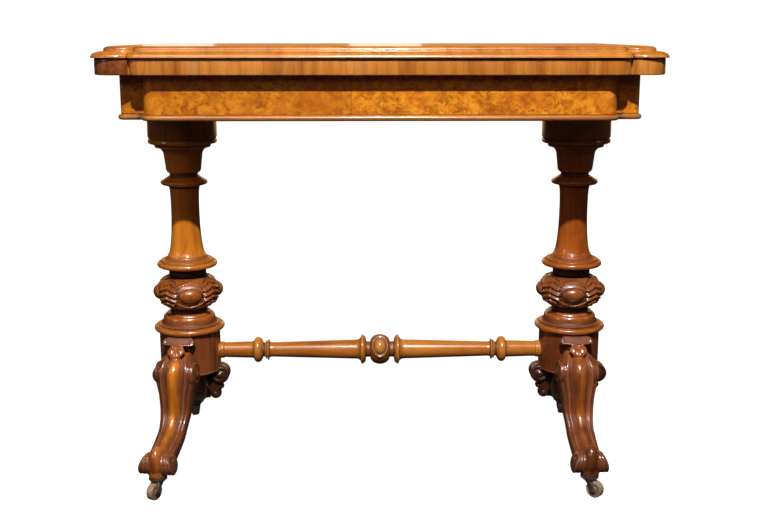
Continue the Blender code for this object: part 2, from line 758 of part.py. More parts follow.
def side_outline(proud):
    low, high = frieze_joint + FIT, back_joint - FIT
    inner = frieze_half - RAIL_THICKNESS
    return [(inner, low), (frieze_half + proud, low), (frieze_half + proud, high), (inner, high)]


def flipped(mesh):
    """The mirror image of a mesh in the middle plane."""
    twin = mesh.copy()
    twin.transform(Matrix.Diagonal((-1.0, 1.0, 1.0, 1.0)))
    twin.flip_normals()
    return twin


def add_frame():
    ledge_front = well_front + BEAD_LEDGE
    part("front_rail", slab(
        front_outline(0.0, break_inner, well_front), rail_z, rail_top), BURR_WALNUT)
    part("back_rail", slab(back_outline(0.0, 0.0), rail_z, rail_top), BURR_WALNUT)
    rail = box(
        (frieze_half - RAIL_THICKNESS, frieze_joint + FIT, rail_z),
        (frieze_half, back_joint - FIT, rail_top))
    part("left_rail", flipped(rail), BURR_WALNUT)
    part("right_rail", rail, BURR_WALNUT)

    part("front_bead", half_round(
        lambda proud: front_outline(proud, break_inner - BEAD_LEDGE, ledge_front)), WALNUT)
    part("back_bead", half_round(lambda proud: back_outline(proud, BEAD_LEDGE)), WALNUT)
    bead = half_round(side_outline)
    part("left_bead", flipped(bead), WALNUT)
    part("right_bead", bead, WALNUT)

    bearer = box(
        (bearer_inner, frieze_joint + FIT, frame_z),
        (bearer_outer, back_joint - BEAD_LEDGE - FIT, frame_z + COLUMN_BEARER_HEIGHT))
    part("left_column_bearer", flipped(bearer), PINE)
    part("right_column_bearer", bearer, PINE)
    low, high = well_front + FIT, back_joint - FIT
    floor_top = rail_z + WELL_FLOOR_THICKNESS
    part("well_floor", box(
        (FIT - bearer_inner, low, rail_z), (bearer_inner - FIT, high, floor_top)), PINE)
    bearer_base = rail_top - PIVOT_BEARER_HEIGHT
    left_edge = pivot.x - pivot_bearer_half
    cross = part("pivot_bearer", box(
        (left_edge, low, bearer_base), (pivot.x + pivot_bearer_half, high, rail_top)), PINE)
    carve(cross, helper("bearer_hole", cylinder(
        (*pivot, rail_top), BOLT_RADIUS + RUNNING, 3 * PIVOT_BEARER_HEIGHT)))
    part("well_partition", box(
        (left_edge, low, floor_top + FIT), (left_edge + PARTITION_THICKNESS, high, bearer_base - FIT)),
        PINE)


# Pedestals


def wrapped(mesh, radius):
    """A flat relief in the XZ plane bent round an upright axis, facing the front."""
    for vertex in mesh.vertices:
        turn = vertex.co.x / radius
        reach = radius - vertex.co.y
        vertex.co.x, vertex.co.y = reach * math.sin(turn), -reach * math.cos(turn)
    return mesh


def knop_mesh():
    """The knop with a cabochon on a raised oval at front and back."""
    widest, middle = max(turning(KNOP_CUTS))
    knop = helper("knop_blank", lathe(turning(KNOP_CUTS)))
    ovals = ((OVAL_WIDTH, OVAL_HEIGHT, OVAL_PROUD), (CABOCHON_WIDTH, CABOCHON_HEIGHT, CABOCHON_PROUD))
    reliefs = []
    for width, height, proud in ovals:
        for turn in (0, 180):
            reliefs.append((ellipsoid((0, proud, 0), (width / 2, 2 * proud, height / 2)), turn))
    for k, (relief, turn) in enumerate(reliefs):
        carving = moved(wrapped(relief, widest), 0, 0, middle)
        for vertex in carving.vertices:
            shrink = knop_radius(vertex.co.z) / widest
            vertex.co.x, vertex.co.y = vertex.co.x * shrink, vertex.co.y * shrink
        carving.transform(Matrix.Rotation(math.radians(turn), 4, "Z"))
        carve(knop, helper(f"knop_relief_{k}", carving), "UNION")
    return evaluated_mesh(knop)


def knop_radius(height):
    """Radius of the turned knop at a height above its base."""
    profile = turning(KNOP_CUTS, 12)
    for (low_r, low), (high_r, high) in zip(profile, profile[1:]):
        if low <= height <= high and high > low:
            return low_r + (high_r - low_r) * (height - low) / (high - low)
    return profile[-1][0]


def drum_profile(grow=0.0):
    radius = DRUM_RADIUS + grow
    arris = 0.0 if grow else DRUM_ARRIS
    points = [(radius - arris, -grow), (radius, arris - grow)]
    return points + [(radius, DRUM_HEIGHT - arris + grow), (radius - arris, DRUM_HEIGHT + grow)]


def drum_tool(name, x):
    """The drum grown by a fit, to cut what seats against it."""
    return helper(name, moved(lathe(drum_profile(FIT)), x, 0, drum_z))


def add_column(side, x, knop):
    for name, cuts, z in (
        ("base_collar", COLLAR_CUTS, collar_z),
        ("column_shaft", shaft_cuts, shaft_z),
        ("capital", CAPITAL_CUTS, capital_z),
    ):
        piece = part(f"{side}_{name}", lathe(turning(cuts)), WALNUT)
        piece.location = (x, 0, z)
    carved = part(f"{side}_carved_knop", knop, WALNUT)
    carved.location = (x, 0, knop_z)
    carved.rotation_euler.z = math.radians(KNOP_TURNS[side])
    drum = part(f"{side}_drum", lathe(drum_profile()), DARK_WALNUT)
    drum.location = (x, 0, drum_z)
    inward = -math.copysign(1, x)
    depth = TENON_LENGTH + 2 * FIT
    carve(drum, helper(side + "_tenon_hole", cylinder(
        (x + inward * DRUM_RADIUS, 0, drum_z + STRETCHER_HEIGHT),
        TENON_RADIUS + 2 * FIT, 2 * depth, "X", STRETCHER_SIDES)))


def add_stretcher():
    """The turned rail between the drums, saddled against them, with a stub tenon at each end."""
    face = column_half_spacing - DRUM_RADIUS
    collar = face - STRETCHER_COLLAR_LENGTH
    half = turning(STRETCHER_CUTS)
    half += [
        (STRETCHER_END_RADIUS, collar),
        (STRETCHER_COLLAR_RADIUS, collar + STRETCHER_COLLAR_LENGTH / 3),
        (STRETCHER_COLLAR_RADIUS, face + STRETCHER_COLLAR_LENGTH),
        (TENON_RADIUS, face + STRETCHER_COLLAR_LENGTH),
        (TENON_RADIUS, face + TENON_LENGTH),
    ]
    profile = [(radius, -along) for radius, along in reversed(half[1:])] + half
    level = drum_z + STRETCHER_HEIGHT
    rod = part("stretcher", lying(lathe(profile, STRETCHER_SIDES), "X"), WALNUT)
    rod.location.z = level
    boss_radius = STRETCHER_CUTS[0] * MM
    for name, way in (("front", -1), ("back", 1)):
        stone = ellipsoid(
            (0, way * (boss_radius - BOSS_PROUD), level),
            (BOSS_WIDTH / 2, 2 * BOSS_PROUD, BOSS_HEIGHT / 2))
        carve(rod, helper(name + "_boss", stone), "UNION")
    for side, x in (("left", -column_half_spacing), ("right", column_half_spacing)):
        saddle = drum_tool(side + "_saddle", x)
        carve(saddle, helper(side + "_saddle_bore", cylinder(
            (x, 0, level), TENON_RADIUS + FIT, 4 * DRUM_RADIUS, "X", STRETCHER_SIDES)))
        carve(rod, saddle)


# Legs and brackets


def leg_ring(station):
    """One section of the leg, across the line from its back to its front."""
    back_reach, back_rise, front_reach, front_rise, half_width = station
    back = Vector((DRUM_RADIUS + back_reach * LEG_REACH, 0, seat_z + back_rise * LEG_RISE))
    front = Vector((DRUM_RADIUS + front_reach * LEG_REACH, 0, seat_z + front_rise * LEG_RISE))
    across = Vector((0, half_width, 0))
    near = [back.lerp(front, deep) + wide * across for wide, deep in LEG_SECTION]
    far = [back.lerp(front, deep) - wide * across for wide, deep in reversed(LEG_SECTION)]
    return near + [front] + far


def scroll(rows, reach, height, sides=SCROLL_SIDES):
    """A piece turned about an axis along Y, from the rows of one half, outside to inside."""
    profile = [(radius, -along) for radius, along in rows]
    profile += [(radius, along) for radius, along in reversed(rows)]
    return moved(lying(lathe(profile, sides), "Y"), reach, 0, height)


def crest_outline():
    """The scalloped leaf shelf in plan, from inside the drum to its lobed edge."""
    per_lobe = 3
    count = CREST_LOBES * per_lobe
    half = math.radians(CREST_HALF_ANGLE)
    outline = []
    for k in range(count + 1):
        turn = half * (2 * k / count - 1)
        dip = 1 - math.sin(math.pi * (k % per_lobe) / per_lobe)
        reach = DRUM_RADIUS + CREST_PROUD - CREST_SCALLOP * dip
        outline.append((reach * math.cos(turn), reach * math.sin(turn)))
    inner = 0.8 * DRUM_RADIUS
    outline.append((inner * math.cos(half), inner * math.sin(half)))
    outline.append((inner * math.cos(half), -inner * math.sin(half)))
    return outline


def leg_mesh():
    """The carved leg, reaching out along X from the axis of its drum."""
    leg = helper("leg_blank", loft([leg_ring(station) for station in LEG_STATIONS]))
    crest_z = drum_z + CREST_RISE
    toe = DRUM_RADIUS + LEG_REACH
    volute = scroll([
        (VOLUTE_EYE_RADIUS, VOLUTE_HALF + VOLUTE_EYE_PROUD), (1.3 * VOLUTE_EYE_RADIUS, VOLUTE_HALF),
        (VOLUTE_RADIUS, 0.9 * VOLUTE_HALF),
    ], DRUM_RADIUS + VOLUTE_REACH, drum_z + VOLUTE_RISE)
    ears = scroll([
        (0.5 * TOE_EAR_RADIUS, TOE_EAR_HALF), (0.85 * TOE_EAR_RADIUS, 0.86 * TOE_EAR_HALF),
        (TOE_EAR_RADIUS, 0.6 * TOE_EAR_HALF), (0.8 * TOE_EAR_RADIUS, TOE_EAR_INNER),
    ], toe - TOE_EAR_SETBACK, seat_z + TOE_EAR_RISE)
    knob = ellipsoid(
        (toe - TOE_KNOB_DEPTH / 2, 0, seat_z + TOE_KNOB_HEIGHT / 2),
        (TOE_KNOB_DEPTH / 2, TOE_KNOB_HALF, TOE_KNOB_HEIGHT / 2), 5, 8)
    seat = cylinder(
        (toe - CASTOR_SETBACK, 0, seat_z + SEAT_HEIGHT / 2), CASTOR_PLATE_RADIUS, SEAT_HEIGHT,
        sides=ROD_SIDES)
    leaf = ellipsoid(
        (DRUM_RADIUS + LEAF_REACH, 0, crest_z - LEAF_DROP), (LEAF_HALF, LEAF_HALF, 0.8 * LEAF_HALF))
    crest = slab(crest_outline(), crest_z, crest_z + CREST_THICKNESS)
    for name, mesh in (("volute", volute), ("toe_ears", ears), ("toe_knob", knob),
                       ("castor_seat", seat), ("leaf", leaf), ("crest", crest)):
        carve(leg, helper("leg_" + name, mesh), "UNION")
    return evaluated_mesh(leg)


def bracket_mesh():
    """The scroll bracket under the drum's edge, reaching out along X."""
    edge, top = DRUM_RADIUS, drum_z + BRACKET_VOLUTE_RADIUS / 2
    axis_z = drum_z - BRACKET_VOLUTE_DROP
    foot_x, foot_z = edge - BRACKET_FOOT_INSET, drum_z - BRACKET_FOOT_DROP
    half = BRACKET_THICKNESS / 2
    web = slab([
        (edge - BRACKET_ROOT, top), (edge, top), (edge, axis_z),
        (foot_x + 0.7 * BRACKET_FOOT_RADIUS, foot_z), (foot_x - 0.7 * BRACKET_FOOT_RADIUS, foot_z),
        (edge - BRACKET_ROOT, axis_z),
    ], -0.8 * half, 0.8 * half)
    web.transform(Matrix.Rotation(math.pi / 2, 4, "X"))
    bracket = helper("bracket_web", web)
    volute = scroll([
        (0.4 * BRACKET_VOLUTE_RADIUS, BRACKET_VOLUTE_HALF),
        (BRACKET_VOLUTE_RADIUS, 0.8 * BRACKET_VOLUTE_HALF),
    ], edge, axis_z)
    foot = scroll([(0.8 * BRACKET_FOOT_RADIUS, half), (BRACKET_FOOT_RADIUS, 0.8 * half)], foot_x, foot_z)
    bead = scroll([(BRACKET_BEAD_RADIUS, 0.6 * half)], edge, drum_z - BRACKET_BEAD_DROP, ROD_SIDES)
    for name, mesh in (("volute", volute), ("foot", foot), ("bead", bead)):
        carve(bracket, helper("bracket_" + name, mesh), "UNION")
    return evaluated_mesh(bracket)


def add_legs(side, x, leg, bracket, castor):
    drum = drum_tool(side + "_drum_seat", x)
    outward = math.copysign(1, x)
    reach = DRUM_RADIUS + LEG_REACH - CASTOR_SETBACK
    for end, way in (("front", -1), ("back", 1)):
        corner = f"{side}_{end}"
        heading = way * (90 - outward * LEG_SPLAY[corner])
        turn = math.radians(heading)
        add_carving(corner + "_leg", leg, x, heading, drum, WALNUT)
        add_castor(corner, (x + reach * math.cos(turn), reach * math.sin(turn)), castor)
    for name, heading in (("outer", 90 - outward * 90), ("inner", 90 + outward * 90)):
        add_carving(f"{side}_{name}_bracket", bracket, x, heading, drum, DARK_WALNUT)


def add_carving(name, mesh, x, heading, drum, finish):
    """A carved piece turned about its drum's axis and cut to seat against the drum."""
    piece = part(name, mesh, finish)
    piece.location.x = x
    piece.rotation_euler.z = math.radians(heading)
    carve(piece, drum)


# Castors


def fork_mesh():
    """Crown, swivel pin, two cheeks and the axle riveted through them, trailing along X."""
    inner = WHEEL_WIDTH / 2 + CHEEK_GAP
    eye = CHEEK_EYE_RADIUS
    middle = (crown_base + crown_top) / 2
    pin_top = plate_base + CASTOR_PLATE_THICKNESS
    root = CROWN_RADIUS / 2
    outline = rounded([
        (-root, middle, 0), (root, middle, 0),
        (CASTOR_TRAIL + eye, axle_z, eye / 2), (CASTOR_TRAIL + eye, axle_z - eye, eye / 2),
        (CASTOR_TRAIL - eye, axle_z - eye, eye / 2),
    ], 1)
    pin = cylinder((0, 0, (middle + pin_top) / 2), CASTOR_PIN_RADIUS, pin_top - middle, sides=ROD_SIDES)
    axle_length = 2 * (inner + CHEEK_THICKNESS + RIVET_HEAD)
    axle = cylinder((CASTOR_TRAIL, 0, axle_z), AXLE_RADIUS, axle_length, "Y", ROD_SIDES)
    pieces = [("fork_pin", pin), ("fork_axle", axle)]
    for name, low in (("near_cheek", -inner - CHEEK_THICKNESS), ("far_cheek", inner)):
        cheek = slab(outline, low, low + CHEEK_THICKNESS)
        cheek.transform(Matrix.Rotation(math.pi / 2, 4, "X"))
        pieces.append((name, cheek))
    fork = helper("fork_crown", cylinder((0, 0, middle), CROWN_RADIUS, CROWN_THICKNESS, sides=10))
    for name, mesh in pieces:
        carve(fork, helper(name, mesh), "UNION")
    return evaluated_mesh(fork)


def wheel_mesh():
    """A crowned wheel about Y, resting on one of its flats."""
    half = WHEEL_WIDTH / 2
    rows = [(0.8 * WHEEL_RADIUS, half), (WHEEL_RADIUS, 0.5 * half)]
    wheel = helper("wheel_blank", scroll(rows, 0, 0, WHEEL_SIDES))
    wheel.data.transform(Matrix.Rotation(math.pi / WHEEL_SIDES, 4, "Y"))
    carve(wheel, helper("wheel_bore", cylinder(
        (0, 0, 0), AXLE_RADIUS + RUNNING, 4 * WHEEL_WIDTH, "Y", ROD_SIDES)))
    return evaluated_mesh(wheel)


def add_castor(name, place, castor):
    """One castor under a leg, its swivel axis at the given place in plan."""
    fork_shape, wheel_shape = castor
    middle = plate_base + CASTOR_PLATE_THICKNESS / 2
    plate = part(name + "_castor_plate", cylinder(
        (*place, middle), CASTOR_PLATE_RADIUS, CASTOR_PLATE_THICKNESS), IRON)
    carve(plate, helper(name + "_plate_hole", cylinder(
        (*place, middle), CASTOR_PIN_RADIUS + RUNNING, 3 * CASTOR_PLATE_THICKNESS,
        sides=ROD_SIDES)))
    swivel = axis_point(name + "_castor_swivel", Vector((*place, 0.0)), heading=CASTOR_HEADINGS[name])
    fork = part(name + "_castor_fork", fork_shape, IRON)
    wheel = part(name + "_castor_wheel", wheel_shape, HARDWOOD)
    fork.parent = swivel
    wheel.parent = swivel
    wheel.location = (CASTOR_TRAIL, 0, axle_z)


# Assembly

turn_axis = axis_point("top_pivot", Vector((*pivot, lower_z)))
fold_axis = axis_point("leaf_hinge", Vector((0.0, hinge_y, hinge_z)), turn_axis)
add_leaves(turn_axis, fold_axis)
add_hinge("left", -hinge_half_spacing, turn_axis, fold_axis)
add_hinge("right", hinge_half_spacing, turn_axis, fold_axis)
add_pivot(turn_axis)
add_frame()

carved_knop = knop_mesh()
carved_leg = leg_mesh()
scroll_bracket = bracket_mesh()
castor_pieces = (fork_mesh(), wheel_mesh())
for pedestal, pedestal_x in (("left", -column_half_spacing), ("right", column_half_spacing)):
    add_column(pedestal, pedestal_x, carved_knop)
    add_legs(pedestal, pedestal_x, carved_leg, scroll_bracket, castor_pieces)
add_stretcher()
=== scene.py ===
import json
import math

import bmesh
import bpy
import numpy as np
from mathutils import Matrix, Vector


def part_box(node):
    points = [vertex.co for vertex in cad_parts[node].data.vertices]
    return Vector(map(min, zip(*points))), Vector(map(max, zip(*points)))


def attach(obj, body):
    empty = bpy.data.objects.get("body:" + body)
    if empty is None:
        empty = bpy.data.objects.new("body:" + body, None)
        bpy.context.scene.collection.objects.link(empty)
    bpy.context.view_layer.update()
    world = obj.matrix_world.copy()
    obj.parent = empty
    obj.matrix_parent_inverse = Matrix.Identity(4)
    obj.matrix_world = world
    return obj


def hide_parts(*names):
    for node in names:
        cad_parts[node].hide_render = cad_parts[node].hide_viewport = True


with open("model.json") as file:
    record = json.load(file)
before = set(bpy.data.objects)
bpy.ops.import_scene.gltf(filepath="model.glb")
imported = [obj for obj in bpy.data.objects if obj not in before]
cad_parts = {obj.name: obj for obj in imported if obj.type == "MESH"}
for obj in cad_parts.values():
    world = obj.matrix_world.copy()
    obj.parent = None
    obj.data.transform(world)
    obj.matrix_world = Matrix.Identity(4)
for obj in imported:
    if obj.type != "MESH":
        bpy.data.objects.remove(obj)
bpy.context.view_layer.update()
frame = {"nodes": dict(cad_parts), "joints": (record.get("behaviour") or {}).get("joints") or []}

mm = 0.001
fit = 0.3 * mm
turn = 2 * math.pi
scene = bpy.context.scene
print("frame loaded:", len(frame["nodes"]), "nodes")


# camera and light

camera = {"place": (-0.018, -1.789, 0.745), "tilt": 12.05, "swing": -0.0141, "lens": 49.2}
view = bpy.data.objects.new("camera", bpy.data.cameras.new("camera"))
view.data.lens = camera["lens"]
view.data.sensor_width = 36
view.location = camera["place"]
view.rotation_euler = (math.radians(90 - camera["tilt"]), 0, camera["swing"])
scene.collection.objects.link(view)
scene.camera = view
scene.view_settings.view_transform = "Standard"

lamps = {  # place, what it faces, size across and up, power, colour, the rays that meet it
    "key": ((0.05, -1.946, 2.487), (0, -0.15, 0.55), (0.05, 0.05), 118, (1.0, 0.95, 0.88), "all"),
    "fill": ((-0.7, -2.6, 1.8), (0, 0, 0.45), (1.4, 0.8), 9.5, (1.0, 0.70, 0.54), "all"),
    "backFill": ((0.3, 3.4, 1.9), (0, 0, 0.5), (3.0, 1.4), 40, (1.0, 0.97, 0.94), "diffuse"),
    "leftSky": ((-2.6, -1.5, 1.5), (0, 0, 0.3), (0.45, 0.9), 8, (0.84, 0.86, 1.0), "all"),
    "rightSky": ((2.6, -0.6, 1.6), (0, 0, 0.3), (0.35, 0.8), 3, (0.90, 0.92, 1.0), "all"),
    "highSky": ((0, -1.15, 2.4), (0, -0.1, 0.3), (1.5, 0.4), 15, (0.86, 0.84, 1.0), "glossy"),
    "leftGlow": ((-0.8, -1.15, 2.2), (0, -0.2, 0.5), (0.5, 0.5), 8, (1.0, 0.95, 0.94), "glossy"),
    "leftPane": ((-0.92, 3.3, 0.95), (-0.2, 0, 0.74), (0.33, 1.1), 1.25, (1.0, 0.94, 0.92), "glossy"),
    "middlePane": ((0.06, 3.3, 0.95), (0, 0, 0.74), (0.34, 1.1), 1.25, (1.0, 0.94, 0.92), "glossy"),
    "warmWall": ((0, 3.6, 1.0), (0, 0, 0.8), (6.0, 1.6), 21, (1.0, 0.45, 0.13), "glossy"),
}
for name, (place, aim, size, power, colour, rays) in lamps.items():
    lamp = bpy.data.lights.new(name, "AREA")
    lamp.shape = "RECTANGLE"
    lamp.size, lamp.size_y = size
    lamp.energy = power
    lamp.color = colour
    stand = bpy.data.objects.new(name, lamp)
    stand.location = place
    stand.rotation_euler = (Vector(aim) - Vector(place)).to_track_quat("-Z", "Y").to_euler()
    stand.visible_diffuse = rays != "glossy"
    stand.visible_glossy = rays != "diffuse"
    scene.collection.objects.link(stand)

scene.world = bpy.data.worlds.new("room")
scene.world.use_nodes = True
scene.world.node_tree.nodes["Background"].inputs["Color"].default_value = (1, 0.76, 0.60, 1)
scene.world.node_tree.nodes["Background"].inputs["Strength"].default_value = 0.035


# shader kit

class Field:  # a value, colour or vector on its way through a finish
    def __init__(self, finish, socket):
        self.finish, self.socket = finish, socket

    def sum(self, kind, other, swapped=False):
        first, second = (other, self) if swapped else (self, other)
        return self.finish.add("Math", {"operation": kind}, {0: first, 1: second})

    def __add__(self, other):
        return self.sum("ADD", other)

    def __radd__(self, other):
        return self.sum("ADD", other, True)

    def __sub__(self, other):
        return self.sum("SUBTRACT", other)

    def __rsub__(self, other):
        return self.sum("SUBTRACT", other, True)

    def __mul__(self, other):
        return self.sum("MULTIPLY", other)

    def __rmul__(self, other):
        return self.sum("MULTIPLY", other, True)

    def __abs__(self):
        return self.sum("ABSOLUTE", 0)


class Finish:
    def __init__(self, name, **fixed):
        self.material = bpy.data.materials.new(name)
        self.material.use_nodes = True
        self.tree = self.material.node_tree
        self.shader = self.tree.nodes["Principled BSDF"]
        for socket, value in fixed.items():
            self.shader.inputs[socket.replace("_", " ")].default_value = value

    def add(self, kind, settings, sockets, output=0):
        node = self.tree.nodes.new("ShaderNode" + kind)
        for key, value in settings.items():
            if key == "stops":
                ramp = node.color_ramp
                while len(ramp.elements) < len(value):
                    ramp.elements.new(0.5)
                for stop, (place, colour) in zip(ramp.elements, value):
                    stop.position = place
                    stop.color = (*colour, 1)
            else:
                setattr(node, key, value)
        for key, value in sockets.items():
            self.feed(node.inputs[key], value)
        return Field(self, node.outputs[output])

    def feed(self, socket, value):
        if isinstance(value, Field):
            self.tree.links.new(value.socket, socket)
        else:
            socket.default_value = value

    def give(self, **sockets):
        for socket, value in sockets.items():
            self.feed(self.shader.inputs[socket.replace("_", " ")], value)

    def place(self):
        return self.add("TexCoord", {}, {}, "Object")

    def split(self, vector):
        node = self.add("SeparateXYZ", {}, {0: vector}).socket.node
        return [Field(self, socket) for socket in node.outputs]

    def join(self, x, y, z):
        return self.add("CombineXYZ", {}, {0: x, 1: y, 2: z})

    def noise(self, vector, scale, detail=4.0, rough=0.55, warp=0.0):
        return self.add("TexNoise", {}, {
            "Vector": vector, "Scale": scale, "Detail": detail, "Roughness": rough, "Distortion": warp})

    def stretch(self, vector, scale, shift=(0, 0, 0)):
        return self.add("Mapping", {}, {"Vector": vector, "Scale": scale, "Location": shift})

    def ramp(self, value, *stops):
        return self.add("ValToRGB", {"stops": stops}, {0: value})

    def step(self, value, low, high):
        return self.add("MapRange", {"interpolation_type": "SMOOTHSTEP"}, {
            "Value": value, "From Min": low, "From Max": high})

    def blend(self, share, first, second):
        first, second = [(*c, 1) if isinstance(c, tuple) else c for c in (first, second)]
        return self.add("Mix", {"data_type": "RGBA"}, {0: share, 6: first, 7: second}, 2)

    def mark(self, name):
        return self.add("Attribute", {"attribute_name": name}, {}, "Fac")

    def bump(self, height, strength, distance=0.4 * mm):
        self.give(Normal=self.add("Bump", {}, {
            "Strength": strength, "Distance": distance, "Height": height}))


# finishes

polish = {"Roughness": 0.3, "IOR": 1.5, "Coat_Weight": 0.3, "Coat_Roughness": 0.12}

walnuts = {  # pale, mid and dark of the figure, then the crevice colour, which is part dirt and part painted shade
    "golden": ((0.50, 0.165, 0.018), (0.38, 0.112, 0.011), (0.20, 0.050, 0.006), (0.020, 0.007, 0.003)),
    "honey": ((0.68, 0.250, 0.021), (0.52, 0.165, 0.012), (0.28, 0.075, 0.007), (0.024, 0.008, 0.003)),
    "brown": ((0.36, 0.105, 0.014), (0.25, 0.064, 0.009), (0.12, 0.028, 0.005), (0.016, 0.006, 0.003)),
    "tawny": ((0.44, 0.115, 0.009), (0.30, 0.068, 0.006), (0.14, 0.029, 0.004), (0.016, 0.006, 0.003)),
    "amber": ((0.56, 0.215, 0.036), (0.42, 0.140, 0.018), (0.23, 0.062, 0.008), (0.024, 0.008, 0.004)),
    "straw": ((0.42, 0.166, 0.034), (0.31, 0.108, 0.017), (0.17, 0.048, 0.008), (0.020, 0.007, 0.003)),
    "veneer": ((0.50, 0.192, 0.032), (0.375, 0.127, 0.017), (0.21, 0.058, 0.008), (0.020, 0.007, 0.003)),
    "chestnut": ((0.29, 0.084, 0.016), (0.195, 0.051, 0.011), (0.09, 0.022, 0.006), (0.012, 0.005, 0.003)),
    "red": ((0.29, 0.086, 0.024), (0.19, 0.051, 0.015), (0.075, 0.018, 0.006), (0.012, 0.005, 0.003)),
    "deep": ((0.20, 0.050, 0.013), (0.125, 0.030, 0.008), (0.055, 0.013, 0.005), (0.009, 0.004, 0.003)),
    # a near-black tone used as painted shade on the brackets and the sides of the legs
    "dark": ((0.060, 0.020, 0.009), (0.030, 0.010, 0.005), (0.013, 0.005, 0.003), (0.004, 0.003, 0.003)),
    "worn": ((0.50, 0.35, 0.25), (0.29, 0.19, 0.13), (0.12, 0.072, 0.05), (0.015, 0.009, 0.006)),
}


# carved scales the dark colour put in hollows, part dirt and part painted shade; lift scales the paler tone
# on ridges, part wear and part painted highlight
def walnutFinish(name, tone, grain, shift=(0, 0, 0), carved=0.8, lift=0.3,
                 tint=None, ridge=None, dents=0.0, coat=0.3):
    pale, mid, dark, creviceDirtAndShade = walnuts[tone]
    wood = Finish(name, **polish)
    along = [5.0, 5.0, 5.0]
    along["XYZ".index(grain)] = 0.42
    close = [260.0, 260.0, 260.0]
    close["XYZ".index(grain)] = 7.0
    place = wood.place()
    figure = wood.noise(wood.stretch(place, along, shift), 4.0, 7.0, 0.62, 1.4)
    pores = wood.noise(wood.stretch(place, close, shift), 1.0, 3.0, 0.6)
    cloud = wood.noise(wood.stretch(place, (9.0, 9.0, 9.0), shift), 1.0, 3.0)
    colour = wood.ramp(figure * 0.8 + cloud * 0.2, (0.33, dark), (0.47, mid), (0.66, pale))
    if tint is not None:
        colour = tint(wood, place, figure, colour)
    flecks = wood.step(pores, 0.56, 0.7) * 0.5
    colour = wood.blend(flecks, colour, dark)
    stain = wood.step(wood.noise(wood.stretch(place, (30.0, 30.0, 30.0), shift), 1.0, 4.0, 0.6), 0.5, 0.72)
    colour = wood.blend(stain * 0.35, colour, dark)
    hollow = wood.mark("hollow")
    # hollows take a dark colour, part dirt and part painted shade; ridges a paler tone, part wear and part
    # painted highlight
    colour = wood.blend(wood.step(hollow, 0.56, 0.86) * carved, colour, creviceDirtAndShade)
    colour = wood.blend(wood.step(hollow, 0.44, 0.2) * lift, colour, walnuts[ridge or tone][0])
    wood.give(Base_Color=colour)
    deep = wood.step(hollow, 0.55, 0.75)
    wood.give(Roughness=0.2 + figure * 0.1 + deep * 0.3, Coat_Weight=coat - deep * coat)
    marks = wood.noise(wood.stretch(place, (1.0, 1.0, 1.0), shift), 170.0, 3.0, 0.55)
    wood.bump(pores * 0.12 + marks * dents, 1.0)
    return wood


legTones = {  # where the tones of a leg change: distances across it and heights above the floor
    "ridge": (14 * mm, 4 * mm), "ridgeTop": (204 * mm, 196 * mm), "ridgeWornAndLit": (70 * mm, 120 * mm),
    "leaf": (18 * mm, 15 * mm), "leafFoot": (196 * mm, 204 * mm), "leafTop": (222.5 * mm, 220.5 * mm),
    "crest": (222.5 * mm, 226 * mm), "toe": (8 * mm, 13 * mm), "toeTop": (85 * mm, 70 * mm),
    "sheenAside": (9 * mm, 14 * mm), "sides": (16 * mm, 26 * mm),
    "leafColour": (0.33, 0.085, 0.018), "crestSheenColour": (0.20, 0.11, 0.085),
    "toeColour": (0.13, 0.045, 0.02), "sheenColour": (0.34, 0.16, 0.11),
}


def legTint(ridge):  # a ridge paler from wear and painted light, a redder leaf, a crest with a painted lilac sheen, painted sheen on the reed tops and painted shade on the sides
    def tint(wood, place, figure, colour):
        across, up = wood.split(place)[1:]
        aside = abs(across)
        pale, mid, dark = walnuts[ridge][:3]
        gold = wood.ramp(figure, (0.35, dark), (0.5, mid), (0.66, pale))
        # the paler gold of the front ridge is part wear, part painted light
        worn = 0.35 + wood.step(up, *legTones["ridgeWornAndLit"]) * 0.65
        crown = wood.step(aside, *legTones["ridge"]) * wood.step(up, *legTones["ridgeTop"]) * worn
        colour = wood.blend(crown, colour, gold)
        spray = wood.step(aside, *legTones["leaf"]) * wood.step(up, *legTones["leafFoot"])
        spray = spray * wood.step(up, *legTones["leafTop"])
        colour = wood.blend(spray * 0.5, colour, legTones["leafColour"])
        # the crest gets a painted lilac sheen
        colour = wood.blend(wood.step(up, *legTones["crest"]) * 0.5, colour, legTones["crestSheenColour"])
        toe = wood.step(aside, *legTones["toe"]) * wood.step(up, *legTones["toeTop"])
        colour = wood.blend(toe * 0.5, colour, legTones["toeColour"])
        # the tops of the side reeds get a painted lilac sheen
        reedSheen = wood.step(wood.mark("hollow"), 0.42, 0.2) * wood.step(aside, *legTones["sheenAside"])
        colour = wood.blend(reedSheen * 0.3, colour, legTones["sheenColour"])
        # the sides of the leg are darkened as painted shade
        return wood.blend(wood.step(aside, *legTones["sides"]) * 0.5, colour, walnuts["dark"][0])
    return tint


shaftTones = {"base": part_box("left_column_shaft")[0].z, "foot": 26 * mm, "head": (80 * mm, 105 * mm)}


def shaftTint(head):  # a foot darker than the trumpet above it, and a redder head: the part in the top's cast shadow is painted redder to colour that shade
    def tint(wood, place, figure, colour):
        up = wood.split(place)[2]
        base, rise = shaftTones["base"], shaftTones["foot"]
        low, high = shaftTones["head"]
        # above the line where the top's shadow falls the wood is tinted redder: painted shade colour
        colour = wood.blend(wood.step(up, base + low, base + high) * head, colour, walnuts["tawny"][0])
        return wood.blend(wood.step(up, base + rise, base + 0.6 * rise) * 0.75, colour, walnuts["brown"][1])
    return tint


def bossTint(wood, place, figure, colour):  # the boss of the stretcher and the rings beside it are darker
    along = abs(wood.split(place)[0])
    fades, full = 36 * mm, 31 * mm
    return wood.blend(wood.step(along, fades, full) * 0.6, colour, walnuts["chestnut"][1])


